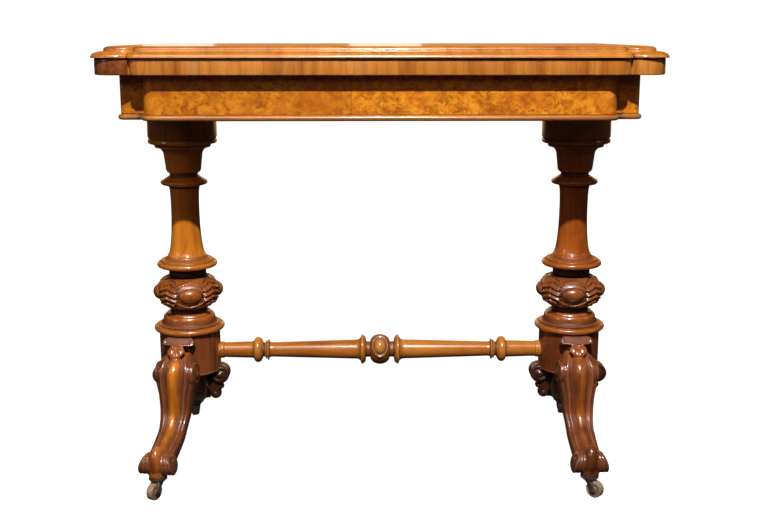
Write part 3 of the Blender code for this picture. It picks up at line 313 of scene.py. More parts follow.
def burrColour(wood, place, tones):
    pale, gold, brown, eye = tones
    drift = wood.noise(place, 11.0, 3.0)
    bent = wood.add("VectorMath", {"operation": "MULTIPLY_ADD"}, {
        0: wood.join(drift, wood.noise(wood.stretch(place, (1, 1, 1), (3, 1, 2)), 13.0), 0.5),
        1: (0.04, 0.04, 0.04), 2: place})
    cloud = wood.noise(bent, 75.0, 4.0, 0.58, 0.4)
    mottle = wood.noise(bent, 210.0, 4.0, 0.65, 0.5)
    patch = wood.step(wood.noise(bent, 17.0, 2.0), 0.44, 0.62)
    colour = wood.ramp(cloud * 0.65 + mottle * 0.35, (0.39, brown), (0.485, gold), (0.58, pale))
    knots = wood.add("TexVoronoi", {"feature": "SMOOTH_F1"}, {"Vector": bent, "Scale": 190.0})
    colour = wood.blend(wood.step(knots, 0.36, 0.1) * patch * 0.8, colour, eye)
    speck = wood.step(wood.noise(bent, 330.0, 3.0, 0.6), 0.54, 0.68)
    colour = wood.blend(speck * (0.3 + patch * 0.6), colour, brown)
    shade = wood.step(wood.noise(bent, 30.0, 4.0, 0.7, 0.5), 0.46, 0.66)
    blush = wood.step(wood.noise(bent, 14.0, 2.0), 0.46, 0.64)
    colour = wood.blend(blush * 0.4, colour, (0.50, 0.125, 0.008))
    colour = wood.blend(shade * 0.55, colour, brown)
    return colour, cloud, mottle


burrTones = {
    "frieze": ((0.70, 0.275, 0.016), (0.54, 0.178, 0.010), (0.27, 0.070, 0.005), (0.11, 0.026, 0.003)),
    "top": ((0.58, 0.215, 0.026), (0.44, 0.140, 0.015), (0.24, 0.064, 0.008), (0.09, 0.022, 0.004)),
}


def burrFinish(name, tones, joint):  # two veneers matched at an upright joint, the left one deeper in tone
    wood = Finish(name, **polish)
    x, y, z = wood.split(wood.place())
    left = wood.step(x, joint + 0.6 * mm, joint - 0.6 * mm)
    matched = wood.join(abs(x - joint), y, z * 1.15 + left * 0.3)
    colour, cloud, mottle = burrColour(wood, matched, burrTones[tones])
    colour = wood.blend(left * 0.3, colour, burrTones[tones][2])
    line = wood.step(abs(x - joint), 0.5 * mm, 0.2 * mm)
    colour = wood.blend(line * 0.6, colour, burrTones[tones][3])
    wood.give(Base_Color=colour, Roughness=0.2 + cloud * 0.14)
    wood.bump(mottle, 0.03)
    return wood


mouldWide = 28 * mm  # how far the moulding of the upper leaf reaches in


def edgedFinish(name):  # the upper leaf: burr field inside a moulding of solid walnut
    wood = Finish(name, **polish)
    place = wood.place()
    x, y, z = wood.split(place)
    near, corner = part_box("upper_leaf")
    matched = wood.join(abs(x), abs(y - 0.01), 0.0)
    field, cloud, mottle = burrColour(wood, matched, burrTones["top"])
    pale, mid, dark, creviceDirtAndShade = walnuts["veneer"]
    streak = wood.noise(wood.stretch(place, (1.5, 1.5, 70.0)), 3.0, 5.0, 0.6, 0.8)
    cross = wood.noise(wood.stretch(place, (55.0, 8.0, 3.0)), 1.0, 4.0, 0.6)
    edge = wood.ramp(streak * 0.6 + cross * 0.4, (0.34, dark), (0.46, mid), (0.6, pale))
    inside = wood.add("Math", {"operation": "MINIMUM"}, {
        0: corner.x - mouldWide - abs(x), 1: y - near.y - mouldWide})
    flat = wood.step(z, corner.z - 0.9 * mm, corner.z - 0.2 * mm) * wood.step(inside, -0.5 * mm, 0.5 * mm)
    colour = wood.blend(flat, edge, field)
    hollow = wood.mark("hollow")
    # the moulding's hollows are darkened, part dirt and part painted shade
    colour = wood.blend(wood.step(hollow, 0.55, 0.8) * 0.85, colour, creviceDirtAndShade)
    wood.give(Base_Color=colour, Roughness=0.17 + cloud * 0.12)
    wood.bump(mottle, 0.01)
    return wood


def crossFinish(name):  # veneer laid with its grain upright round the lower leaf
    wood = Finish(name, **polish)
    place = wood.place()
    x, y, z = wood.split(place)
    pale, mid, dark = walnuts["veneer"][:3]
    unrolled = wood.join(x + y * 0.7, x * 0.2, z * 0.06 + 0.4)
    streak = wood.noise(unrolled, 75.0, 6.0, 0.68, 0.4)
    broad = wood.noise(unrolled, 16.0, 3.0)
    colour = wood.ramp(streak * 0.55 + broad * 0.45, (0.36, dark), (0.46, mid), (0.58, pale))
    hair = wood.step(wood.noise(unrolled, 420.0, 3.0, 0.6), 0.5, 0.66)
    colour = wood.blend(hair * 0.4, colour, dark)
    grey = wood.step(wood.noise(unrolled, 40.0, 2.0), 0.58, 0.7)
    colour = wood.blend(grey * 0.3, colour, (0.33, 0.19, 0.09))
    level = wood.split(wood.add("NewGeometry", {}, {}, "Normal"))[2]
    edge = wood.step(abs(level), 0.95, 0.8)
    joint = -375.5 * mm  # left of it the corner's edge is painted darker and redder, as shade
    lobe = wood.step(x, joint + 1 * mm, joint - 1 * mm) * edge
    blotch = wood.noise(place, 90.0, 4.0, 0.65)
    leftLobeShade = wood.ramp(blotch, (0.36, (0.07, 0.015, 0.004)), (0.62, (0.20, 0.046, 0.011)))
    colour = wood.blend(lobe * 0.92, colour, leftLobeShade)
    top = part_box("lower_leaf")[1].z
    # a painted shadow of the upper leaf's nose along the top of the edge
    noseShadow = wood.step(z, top - 3.2 * mm, top - 2.2 * mm) * edge
    colour = wood.blend(noseShadow * 0.93, colour, (0.012, 0.004, 0.002))
    wood.give(Base_Color=colour, Roughness=0.27 + streak * 0.12)
    wood.bump(streak, 0.06)
    return wood


def pineFinish(name, grain):
    wood = Finish(name, Roughness=0.7)
    along = [22.0, 22.0, 22.0]
    along["XYZ".index(grain)] = 0.9
    place = wood.stretch(wood.place(), along)
    rings = wood.noise(place, 3.0, 5.0, 0.6, 1.0)
    dust = wood.noise(wood.place(), 14.0, 4.0)
    late, mid, early = (0.20, 0.10, 0.04), (0.40, 0.24, 0.11), (0.50, 0.33, 0.17)
    colour = wood.ramp(rings, (0.36, late), (0.52, mid), (0.68, early))
    colour = wood.blend(wood.step(dust, 0.5, 0.72) * 0.5, colour, (0.16, 0.10, 0.06))
    wood.give(Base_Color=colour, Roughness=0.6 + rings * 0.25)
    wood.bump(rings, 0.25)
    return wood


def baizeFinish(name):
    cloth = Finish(name, Roughness=0.95, Sheen_Weight=0.08, Sheen_Roughness=0.5)
    place = cloth.place()
    x, y = cloth.split(place)[:2]
    nap = cloth.noise(place, 900.0, 3.0, 0.7)
    worn = cloth.noise(place, 5.0, 4.0, 0.6)
    twill = cloth.add("TexWave", {"bands_direction": "DIAGONAL"}, {
        "Vector": cloth.join(x, y, 0.0), "Scale": 420.0, "Distortion": 1.5, "Detail": 2.0})
    deep, mid, faded = (0.014, 0.070, 0.022), (0.022, 0.105, 0.033), (0.040, 0.130, 0.046)
    colour = cloth.ramp(worn, (0.35, deep), (0.55, mid), (0.72, faded))
    colour = cloth.blend(nap * 0.45, colour, (0.010, 0.045, 0.016))
    cloth.give(Base_Color=colour, Roughness=0.86 + nap * 0.12)
    cloth.bump(nap * 0.7 + twill * 0.3, 0.5, 0.25 * mm)
    return cloth


def metalFinish(name, bright, dull, rough, rust=0.4):
    metal = Finish(name, Metallic=1.0, Roughness=rough)
    place = metal.place()
    worn = metal.noise(place, 120.0, 5.0, 0.65)
    stain = metal.step(metal.noise(place, 45.0, 4.0, 0.6), 0.44, 0.66)
    colour = metal.blend(stain * rust, bright, dull)
    colour = metal.blend(metal.step(metal.mark("hollow"), 0.55, 0.85) * 0.8, colour, (0.02, 0.014, 0.01))
    metal.give(Base_Color=colour, Roughness=rough - 0.1 + worn * 0.25, Metallic=1.0 - stain * (rust * 0.6))
    metal.bump(worn, 0.2)
    return metal


topWood = edgedFinish("polished top")
crossWood = crossFinish("cross-grained veneer")
friezeWood = burrFinish("burr veneer front", "frieze", -0.044)
railWood = burrFinish("burr veneer rails", "top", 0.0)
beadWood = walnutFinish("bead moulding", "straw", "X")
columnWood = {
    "left": walnutFinish("left column walnut", "honey", "Z", tint=shaftTint(0.6), coat=0.7),
    "right": walnutFinish("right column walnut", "tawny", "Z", (0.7, 0.3, 0.2),
                          tint=shaftTint(0.0), coat=0.7),
}
collarWood = {
    "left": walnutFinish("left collar walnut", "brown", "Z", (0.3, 0.3, 0.1), ridge="golden", coat=0.9),
    "right": walnutFinish("right collar walnut", "chestnut", "Z", (0.6, 0.1, 0.5), 0.8, 0.5,
                          ridge="tawny", coat=0.9),
}
knopWood = {
    "left": walnutFinish("left knop walnut", "brown", "Z", (0.1, 0.9, 0.3), 1.0, 0.8,
                         ridge="golden", dents=0.5, coat=0.6),
    "right": walnutFinish("right knop walnut", "chestnut", "Z", (0.5, 0.2, 0.8), 1.0, 0.8,
                          ridge="brown", dents=0.5, coat=0.6),
}
drumWood = {
    "left": walnutFinish("left drum walnut", "red", "Z", (0.2, 0.6, 0.1)),
    # the right drum's deeper tone is painted shade
    "right": walnutFinish("right drum walnut", "deep", "Z", (0.8, 0.6, 0.1)),
}
legWood = {
    "left": walnutFinish("left leg walnut", "red", "Z", (0.3, 0.1, 0.5), 0.6, 0.1,
                         legTint("honey"), dents=0.45, coat=0.55),
    "right": walnutFinish("right leg walnut", "red", "Z", (0.9, 0.4, 0.7), 0.6, 0.1,
                          legTint("brown"), dents=0.45, coat=0.55),
}
# a near-black tone: painted shade for brackets that lie in shadow under the drum
shadedBracketWood = walnutFinish("bracket walnut", "dark", "Z", (0.4, 0.8, 0.2), dents=0.4, coat=0.1)
stretcherWood = walnutFinish("stretcher walnut", "amber", "X", lift=0.7, tint=bossTint)
pegWood = walnutFinish("peg walnut", "red", "Z")
pineAcross = pineFinish("pine across", "X")
pineDeep = pineFinish("pine front to back", "Y")
baizeCloth = baizeFinish("green baize")
brassMetal = metalFinish("aged brass", (0.58, 0.40, 0.15), (0.20, 0.12, 0.05), 0.34)
ironMetal = metalFinish("worn iron", (0.34, 0.28, 0.22), (0.12, 0.075, 0.05), 0.38, 0.6)
wheelWood = walnutFinish("castor wheel", "worn", "Y", (0.1, 0.1, 0.4))
print("finishes made:", len(bpy.data.materials))


# mesh kit

def meshOf(points, faces):
    mesh = bpy.data.meshes.new("shape")
    mesh.from_pydata([tuple(map(float, p)) for p in points], [], [tuple(map(int, f)) for f in faces])
    shape = bmesh.new()
    shape.from_mesh(mesh)
    bmesh.ops.recalc_face_normals(shape, faces=shape.faces)
    shape.to_mesh(mesh)
    shape.free()
    return mesh


def gridMesh(rings, capped=True):  # closed rings of equal count, one above the other
    rings = np.asarray(rings, float)
    rows, count = rings.shape[:2]
    index = np.arange(rows * count).reshape(rows, count)
    after = np.roll(index, -1, axis=1)
    faces = np.stack([index[:-1], after[:-1], after[1:], index[1:]], axis=-1).reshape(-1, 4).tolist()
    if capped:
        faces += [index[0].tolist(), index[-1].tolist()]
    return meshOf(rings.reshape(-1, 3), faces)


def rodMesh(radius, low, high, sides):
    return gridMesh(spun([(radius, low), (radius, high)], sides))


def turnedMesh(line, ease, sides, capped=True):
    return gridMesh(spun(eased(line, ease), sides), capped)


def ovalMesh(radii, place):  # a closed egg with its poles above and below
    line = [(math.sin(t), math.cos(t)) for t in np.linspace(0.02, math.pi - 0.02, 25)]
    mesh = gridMesh(spun(line, 48))
    mesh.transform(Matrix.Translation(place) @ Matrix.Diagonal((*radii, 1)))
    return mesh


def boxMesh(low, high):
    low, high = Vector(low), Vector(high)
    mesh = bpy.data.meshes.new("box")
    shape = bmesh.new()
    bmesh.ops.create_cube(shape, size=1, matrix=Matrix.Translation((low + high) / 2)
                          @ Matrix.Diagonal((*(high - low), 1)))
    shape.to_mesh(mesh)
    shape.free()
    return mesh


def smooth(value, low, high):
    t = np.clip((value - low) / (high - low), 0, 1)
    return t * t * (3 - 2 * t)


def eased(points, radius, steps=2):  # corners of a line cut into small arcs
    points = [Vector(p) for p in points]
    line = [points[0]]
    for before, corner, after in zip(points, points[1:], points[2:]):
        back, onward = before - corner, after - corner
        reach = min(radius, 0.42 * back.length, 0.42 * onward.length)
        if back.length < 1e-9 or onward.length < 1e-9 or back.angle(onward) > math.radians(165):
            line.append(corner)
            continue
        start, end = corner + back.normalized() * reach, corner + onward.normalized() * reach
        for k in range(steps + 1):
            t = k / steps
            line.append((1 - t) ** 2 * start + 2 * t * (1 - t) * corner + t * t * end)
    return line + [points[-1]]


def fine(line, step=1.5 * mm):  # no two points of a line further apart than a step
    points = [line[0]]
    for start, end in zip(line, line[1:]):
        count = max(1, math.ceil((end - start).length / step))
        points += [start.lerp(end, k / count) for k in range(1, count + 1)]
    return points


def turnedLine(cuts, steps=9, ease=0.7 * mm):  # (radius, height) of a turned profile
    radius, height = cuts[0] * mm, 0.0
    points = [(radius, height)]
    for kind, rise, end in cuts[1:]:
        rise, end = rise * mm, end * mm
        count = 1 if kind == "line" else steps
        for k in range(1, count + 1):
            t = math.pi / 2 * k / count
            if kind == "line":
                along, up = 1, 1
            elif (kind == "round") == (end > radius):
                along, up = math.sin(t), 1 - math.cos(t)
            else:
                along, up = 1 - math.cos(t), math.sin(t)
            points.append((radius + (end - radius) * along, height + rise * up))
        radius, height = end, height + rise
    return fine(eased(points, ease))


def spun(line, sides=96):  # a profile turned about Z
    angles = np.arange(sides) * turn / sides
    return [[(r * math.cos(a), r * math.sin(a), z) for a in angles] for r, z in line]


def laid(mesh, axis):
    spin = Matrix.Rotation(math.pi / 2, 4, "Y") if axis == "X" else Matrix.Rotation(-math.pi / 2, 4, "X")
    mesh.transform(spin)
    return mesh


def moved(mesh, *place):
    mesh.transform(Matrix.Translation(place))
    return mesh


def mirrored(mesh, axis):
    twin = mesh.copy()
    twin.transform(Matrix.Diagonal((-1, 1, 1, 1) if axis == "X" else (1, -1, 1, 1)))
    twin.flip_normals()
    return twin


def bothSides(mesh):
    return [mesh, mirrored(mesh, "Y")]


def joined(*meshes):
    shape = bmesh.new()
    for mesh in meshes:
        shape.from_mesh(mesh)
    mesh = bpy.data.meshes.new("joined")
    shape.to_mesh(mesh)
    shape.free()
    return mesh


def worked(mesh, *steps):  # the mesh after modifiers: (type, settings)
    blank = bpy.data.objects.new("blank", mesh)
    scene.collection.objects.link(blank)
    helpers = []
    for kind, settings in steps:
        step = blank.modifiers.new(kind, kind)
        for key, value in settings.items():
            if key == "object":
                tool = bpy.data.objects.new("tool", value)
                scene.collection.objects.link(tool)
                helpers.append(tool)
                value = tool
            setattr(step, key, value)
    bpy.context.view_layer.update()
    graph = bpy.context.evaluated_depsgraph_get()
    result = bpy.data.meshes.new_from_object(blank.evaluated_get(graph))
    for item in [blank, *helpers]:
        bpy.data.objects.remove(item)
    return result


def cut(mesh, *tools):
    return worked(mesh, *[("BOOLEAN", {"solver": "EXACT", "object": tool}) for tool in tools])


def melted(size, *meshes):  # carved parts run together into one skin
    return worked(joined(*meshes), ("REMESH", {"mode": "VOXEL", "voxel_size": size}),
                  ("SMOOTH", {"factor": 0.5, "iterations": 2}))


def softened(mesh, width):
    return worked(mesh, ("BEVEL", {"width": width, "segments": 2, "angle_limit": math.radians(35)}))


def welded(mesh):  # the two ends of a closed profile run together
    return worked(mesh, ("WELD", {"merge_threshold": 0.002 * mm}))


def coords(mesh):
    flat = np.empty(len(mesh.vertices) * 3)
    mesh.vertices.foreach_get("co", flat)
    return flat.reshape(-1, 3)


def getMarks(mesh):
    values = np.empty(len(mesh.vertices), np.float32)
    mesh.attributes["hollow"].data.foreach_get("value", values)
    return values


def markHollows(mesh, rounds, depth=0.35 * mm):  # 0.5 where level, more in hollows, less on ridges
    points = coords(mesh)
    normals = np.empty(len(points) * 3)
    mesh.vertices.foreach_get("normal", normals)
    normals = normals.reshape(-1, 3)
    ends = np.empty(len(mesh.edges) * 2, np.int32)
    mesh.edges.foreach_get("vertices", ends)
    here = np.concatenate([ends[0::2], ends[1::2]])
    there = np.concatenate([ends[1::2], ends[0::2]])
    count = np.maximum(np.bincount(here, minlength=len(points)), 1)
    soft = points.copy()
    for _ in range(rounds):
        soft = np.stack([np.bincount(here, soft[there, k], len(points)) / count for k in range(3)], 1)
    lift = ((soft - points) * normals).sum(1)
    return setMarks(mesh, np.clip(0.5 + 0.5 * lift / depth, 0, 1))


def turnedMarks(line, reach=3 * mm, depth=1.1 * mm):  # the same measure along a turned line
    points = np.array([tuple(p) for p in line])
    ways = np.concatenate([[0], np.cumsum(np.linalg.norm(np.diff(points, axis=0), axis=1))])
    step = 0.5 * mm
    even = np.arange(0, ways[-1], step)
    level = np.stack([np.interp(even, ways, points[:, k]) for k in (0, 1)], 1)
    soft = level.copy()
    for _ in range(round(2 * (reach / step) ** 2)):
        soft[1:-1] = (soft[:-2] + 2 * soft[1:-1] + soft[2:]) / 4
    along = np.gradient(level, axis=0)
    along /= np.maximum(np.linalg.norm(along, axis=1), 1e-9)[:, None]
    lift = (soft - level)[:, 0] * along[:, 1] - (soft - level)[:, 1] * along[:, 0]
    return np.interp(ways, even, np.clip(0.5 + 0.5 * lift / depth, 0, 1))


def setMarks(mesh, values):
    mark = mesh.attributes.get("hollow") or mesh.attributes.new("hollow", "FLOAT", "POINT")
    mark.data.foreach_set("value", np.asarray(values, np.float32))
    return mesh


def addPiece(name, mesh, body, finish, nodes=(), place=None, smooth=38):
    if "hollow" not in mesh.attributes:
        setMarks(mesh, np.full(len(mesh.vertices), 0.5))  # nothing carved to shade
    mesh.name = name
    mesh.shade_smooth()
    mesh.set_sharp_from_angle(angle=math.radians(smooth))
    mesh.materials.clear()
    mesh.materials.append(finish.material)
    piece = bpy.data.objects.new(name, mesh)
    scene.collection.objects.link(piece)
    if place is not None:
        piece.matrix_world = place
    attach(piece, body)
    if nodes:
        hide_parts(*nodes)
    return piece


sides = {"left": -1, "right": 1}


# leaves

upNear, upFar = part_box("upper_leaf")
lowNear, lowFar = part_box("lower_leaf")
leaf = {
    "half": upFar.x, "front": upNear.y, "back": upFar.y,
    "notchHalf": upFar.x - 61 * mm, "notchDepth": 15 * mm, "notchRound": 14 * mm, "notchMitre": 0.37,
    "lobeDepth": 28.6 * mm, "lobeMitre": 0.5,
    "lowZ": lowNear.z, "lowTop": lowFar.z, "upZ": upNear.z, "top": upFar.z,
    "margin": upFar.x - lowFar.x, "arris": 2 * mm, "pocketDeep": 1.6 * mm,
    "ovolo": (16.4 * mm, 9 * mm), "fillet": (18 * mm, 12.2 * mm), "crown": 9.5 * mm,
}
hinge = {
    "y": leaf["back"] + fit / 2, "z": (leaf["lowTop"] + leaf["upZ"]) / 2, "spread": leaf["half"] - 146 * mm,
    "long": 54 * mm, "reach": 22 * mm, "plate": 2 * mm, "knuckle": 3 * mm, "pin": 1.3 * mm, "screw": 2.6 * mm,
}
pivot = {
    "place": (110 * mm, 110 * mm), "plate": 35 * mm, "thick": 3 * mm, "head": 12 * mm, "headHigh": 3 * mm,
    "peg": (162.7 * mm, 20 * mm), "pegRadius": 6 * mm, "pegSunk": 8.3 * mm,
}


def leafRing(inset, z):
    half = leaf["half"] - inset
    notchX = leaf["notchHalf"] - leaf["notchMitre"] * inset
    notchY = leaf["front"] + inset + leaf["notchDepth"]
    shoulder = leaf["front"] + leaf["notchDepth"] + leaf["lobeDepth"] + leaf["lobeMitre"] * inset
    across, along = half - notchX, shoulder - notchY
    radius = (across ** 2 + along ** 2) / (2 * across)
    sweep = math.atan2(-along, radius - across)
    ring = [(half, leaf["back"])]
    for k in range(23):
        a = sweep * k / 22
        ring.append((half - radius + radius * math.cos(a), shoulder + radius * math.sin(a)))
    for k in range(1, 13):
        a = math.pi / 2 * k / 12
        ring.append((notchX - leaf["notchRound"] * (1 - math.cos(a)),
                     notchY - leaf["notchDepth"] * math.sin(a)))
    ring += [(-x, y) for x, y in reversed(ring)]
    return [(x, y, z) for x, y in ring]


def arc(start, run, rise, steps=10):  # a quarter round from a point (inset, height)
    turns = [math.pi / 2 * k / steps for k in range(1, steps + 1)]
    return [(start[0] + run * (1 - math.cos(a)), start[1] + rise * math.sin(a)) for a in turns]


def leafTools(upper):
    near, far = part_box("upper_baize")
    half, front, back = far.x + fit, near.y - fit, far.y + fit
    if upper:
        low, high = leaf["upZ"] - fit, leaf["upZ"] + leaf["pocketDeep"]
        plateLow, plateHigh = hinge["z"], leaf["upZ"] + hinge["plate"] + fit
    else:
        low, high = leaf["lowTop"] - leaf["pocketDeep"], leaf["lowTop"] + fit
        plateLow, plateHigh = leaf["lowTop"] - hinge["plate"] - fit, hinge["z"]
    tools = [boxMesh((-half, front, low), (half, back, high))]
    for x in (-hinge["spread"], hinge["spread"]):
        reach = hinge["long"] / 2 + fit
        tools.append(boxMesh((x - reach, hinge["y"] - hinge["reach"] - fit, plateLow),
                             (x + reach, hinge["y"] + fit, plateHigh)))
        barrel = rodMesh(hinge["knuckle"] + fit, -reach, reach, 24)
        tools.append(moved(laid(barrel, "X"), x, hinge["y"], hinge["z"]))
    return tools


def addLeaves():
    base = leaf["upZ"]
    line = [(2 * mm, 0), (0.8 * mm, 0.2 * mm), (0.2 * mm, 0.5 * mm), (0, 0.9 * mm)]
    line += arc(line[-1], *leaf["ovolo"])
    line += [(17.2 * mm, 9.9 * mm), (17.7 * mm, 10.3 * mm), (18 * mm, 10.8 * mm), leaf["fillet"]]
    top = leaf["top"] - base
    line += arc(line[-1], leaf["crown"], top - leaf["fillet"][1])
    line.append((mouldWide, top))
    upper = gridMesh([leafRing(inset, base + height) for inset, height in line])
    upper = markHollows(cut(upper, *leafTools(True)), 1, 0.5 * mm)
    points = coords(upper)
    within = (np.abs(points[:, 0]) < leaf["half"] - 30 * mm) & (points[:, 1] > leaf["front"] + 40 * mm)
    setMarks(upper, np.where(within, 0.5, getMarks(upper)))  # only the moulding's hollows get dirt and painted shade
    addPiece("upperLeafTop", upper, "folding_leaf", topWood, ["upper_leaf"], smooth=32)

    low, high, soft = leaf["lowZ"], leaf["lowTop"], leaf["arris"]
    line = [(leaf["margin"] + soft * (1 - math.sin(a)), low + soft * (1 - math.cos(a)))
            for a in np.linspace(0, math.pi / 2, 5)]
    line += [(leaf["margin"] + soft * (1 - math.cos(a)), high - soft * (1 - math.sin(a)))
             for a in np.linspace(0, math.pi / 2, 5)]
    lower = gridMesh([leafRing(inset, z) for inset, z in line])
    px, py = pivot["place"]
    wide, deep = pivot["plate"] + fit, low + pivot["thick"] + fit
    plate = boxMesh((px - wide, py - wide, low - fit), (px + wide, py + wide, deep))
    head = rodMesh(pivot["head"] + fit, -4 * mm, pivot["headHigh"] + fit, 40)
    peg = rodMesh(pivot["pegRadius"] + fit, -pivot["pegSunk"], pivot["pegSunk"], 32)
    lower = cut(lower, *leafTools(False), plate, moved(head, px, py, deep), moved(peg, *pivot["peg"], low))
    addPiece("lowerLeafBoard", lower, "swivel_top", crossWood, ["lower_leaf"], smooth=32)


def baizeMesh(z):  # a thin cloth with eased edges, glued in its recess
    near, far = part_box("upper_baize")
    half, front, back = far.x, near.y, far.y
    thick, wide, deep = 0.9 * mm, 97, 46
    xs, ys = np.linspace(-half, half, wide), np.linspace(front, back, deep)
    rows = []
    for level in (0, 1):
        for y in ys:
            for x in xs:
                rim = min(half - abs(x), y - front, back - y)
                drop = 0.35 * mm * math.exp(-rim / (1.5 * mm))
                rows.append((x, y, z + (thick - drop if level else drop)))
    index = np.arange(len(rows)).reshape(2, deep, wide)
    faces = []
    for level in index:
        corners = level[:-1, :-1], level[:-1, 1:], level[1:, 1:], level[1:, :-1]
        faces += np.stack(corners, -1).reshape(-1, 4).tolist()
    loops = [np.concatenate([g[0, :-1], g[:-1, -1], g[-1, :0:-1], g[:0:-1, 0]]) for g in index]
    for a, b, c, d in zip(loops[0], np.roll(loops[0], -1), np.roll(loops[1], -1), loops[1]):
        faces.append((a, b, c, d))
    return meshOf(rows, faces)


def addBaize():
    for name, z, body, node, board in (
        ("upperBaizeCloth", leaf["upZ"] + 0.35 * mm, "folding_leaf", "upper_baize", "upperLeafTop"),
        ("lowerBaizeCloth", leaf["lowTop"] - 1.25 * mm, "swivel_top", "lower_baize", "lowerLeafBoard"),
    ):
        cloth = addPiece(name, baizeMesh(z), body, baizeCloth, [node])


def screwMesh(radius):  # a countersunk head with its slot
    head = turnedMesh([(radius, -1.2 * mm), (radius, 0), (0.15 * radius, 0.25 * mm)], 0.2 * mm, 24)
    slot = boxMesh((-2 * radius, -0.16 * radius, -0.45 * mm), (2 * radius, 0.16 * radius, 2 * mm))
    return cut(head, slot)


def addHinges():
    y, z, r = hinge["y"], hinge["z"], hinge["knuckle"]
    third = hinge["long"] / 3
    for side, sign in sides.items():
        x = sign * hinge["spread"]
        half = hinge["long"] / 2
        for level, body in (("upper", "folding_leaf"), ("lower", "swivel_top")):
            if level == "upper":
                low, high, face, flip = leaf["upZ"], leaf["upZ"] + hinge["plate"], leaf["upZ"], math.pi
                eyes, gaps = [0], [-1, 1]
            else:
                low, high, face, flip = leaf["lowTop"] - hinge["plate"], leaf["lowTop"], leaf["lowTop"], 0
                eyes, gaps = [-1, 1], [0]
            plate = boxMesh((x - half, y - hinge["reach"], low), (x + half, leaf["back"], high))
            tools = []
            for gap in gaps:
                long = third / 2 + fit
                tools.append(moved(laid(rodMesh(r + fit, -long, long, 32), "X"), x + gap * third, y, z))
            pieces = [cut(softened(plate, 0.25 * mm), *tools)]
            for eye in eyes:
                long = third / 2 - fit
                bore = hinge["pin"] + 0.4 * mm
                line = [(bore, -long), (r, -long), (r, long), (bore, long)]
                ring = turnedMesh(line, 0.4 * mm, 32, False)
                pieces.append(moved(laid(ring, "X"), x + eye * third, y, z))
            for k in (-1, 0, 1):
                screw = screwMesh(hinge["screw"])
                screw.transform(Matrix.Rotation(0.4 + k, 4, "Z"))
                screw.transform(Matrix.Rotation(flip, 4, "X"))
                depth = -0.3 * mm if level == "lower" else 0.3 * mm
                place = x + k * 0.34 * hinge["long"], y - 0.62 * hinge["reach"], face + depth
                pieces.append(moved(screw, *place))
            addPiece(f"{side}{level.title()}HingeLeaf", markHollows(joined(*pieces), 2), body,
                     brassMetal, [f"{side}_hinge_{level}_plate"])
        line = [(0.4 * mm, -half), (hinge["pin"], -half), (hinge["pin"], half), (0.4 * mm, half)]
        rod = laid(turnedMesh(line, 0.5 * mm, 24), "X")
        addPiece(side + "HingeRod", moved(rod, x, y, z), "swivel_top",
                 brassMetal, [side + "_hinge_pin"])


addLeaves()
addBaize()
addHinges()
print("leaves, baize and hinges made")


# frieze and beads

railNear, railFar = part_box("front_rail")
beadNear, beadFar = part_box("front_bead")
frieze = {
    "half": railFar.x, "front": railNear.y, "end": railNear.y + 30 * mm, "joint": railFar.y,
    "back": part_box("back_rail")[1].y, "backJoint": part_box("back_rail")[0].y, "rail": 24 * mm,
    "break": railFar.x - 39 * mm, "breakRound": 20 * mm, "corner": 8 * mm,
    "z": railNear.z, "top": railFar.z,
    "beadZ": beadNear.z, "beadHigh": beadFar.z - beadNear.z, "beadProud": 4.5 * mm, "ledge": 10 * mm,
}


def roundedLine(corners, steps=12):  # corners (x, y, radius) with each radius made an arc
    line = []
    for k, (x, y, radius) in enumerate(corners):
        corner = Vector((x, y))
        if not radius:
            line.append(corner)
            continue
        before = (Vector(corners[k - 1][:2]) - corner).normalized()
        after = (Vector(corners[(k + 1) % len(corners)][:2]) - corner).normalized()
        half = before.angle(after) / 2
        centre = corner + (before + after).normalized() * radius / math.sin(half)
        start = corner + before * radius / math.tan(half) - centre
        sweep = -start.angle_signed(corner + after * radius / math.tan(half) - centre)
        for step in range(steps + 1):
            line.append(centre + Matrix.Rotation(sweep * step / steps, 2) @ start)
    return line


def bothHalves(half):
    return half + [(-x, y, radius) for x, y, radius in reversed(half)]


def frontLine(proud, ledge=0.0):
    inner = frieze["break"] - frieze["rail"] - ledge
    return roundedLine(bothHalves([
        (frieze["break"] + proud, frieze["front"] - proud, frieze["breakRound"] + proud),
        (frieze["break"] + proud, frieze["end"] - proud, 0),
        (frieze["half"] + proud, frieze["end"] - proud, frieze["corner"] + proud),
        (frieze["half"] + proud, frieze["joint"], 0), (inner, frieze["joint"], 0),
        (inner, frieze["front"] + frieze["rail"] + ledge, 0)]))


def backLine(proud, ledge=0.0):
    half, step = frieze["half"] + proud, frieze["break"] - frieze["rail"] - frieze["ledge"]
    corners = [(half, frieze["back"] + proud, frieze["corner"] + proud), (half, frieze["backJoint"], 0)]
    if ledge:
        corners += [(step, frieze["backJoint"], 0), (step, frieze["backJoint"] - ledge, 0)]
    return roundedLine(bothHalves(corners))


def sideLine(proud):
    low, high = frieze["joint"] + fit, frieze["backJoint"] - fit
    inner, outer = frieze["half"] - frieze["rail"], frieze["half"] + proud
    return [(inner, low), (outer, low), (outer, high), (inner, high)]


def beadMesh(lineAt):  # a half round with a small quirk above it
    rings = []
    high = frieze["beadHigh"]
    for k in range(15):
        a = math.pi * (k / 14 - 0.5)
        rings.append((frieze["beadProud"] * math.cos(a), 0.45 * high * (1 + math.sin(a))))
    rings += [(-0.6 * mm, 0.915 * high), (-0.6 * mm, 0.96 * high), (0, high)]
    return gridMesh([[(p[0], p[1], frieze["beadZ"] + z) for p in lineAt(proud)] for proud, z in rings])


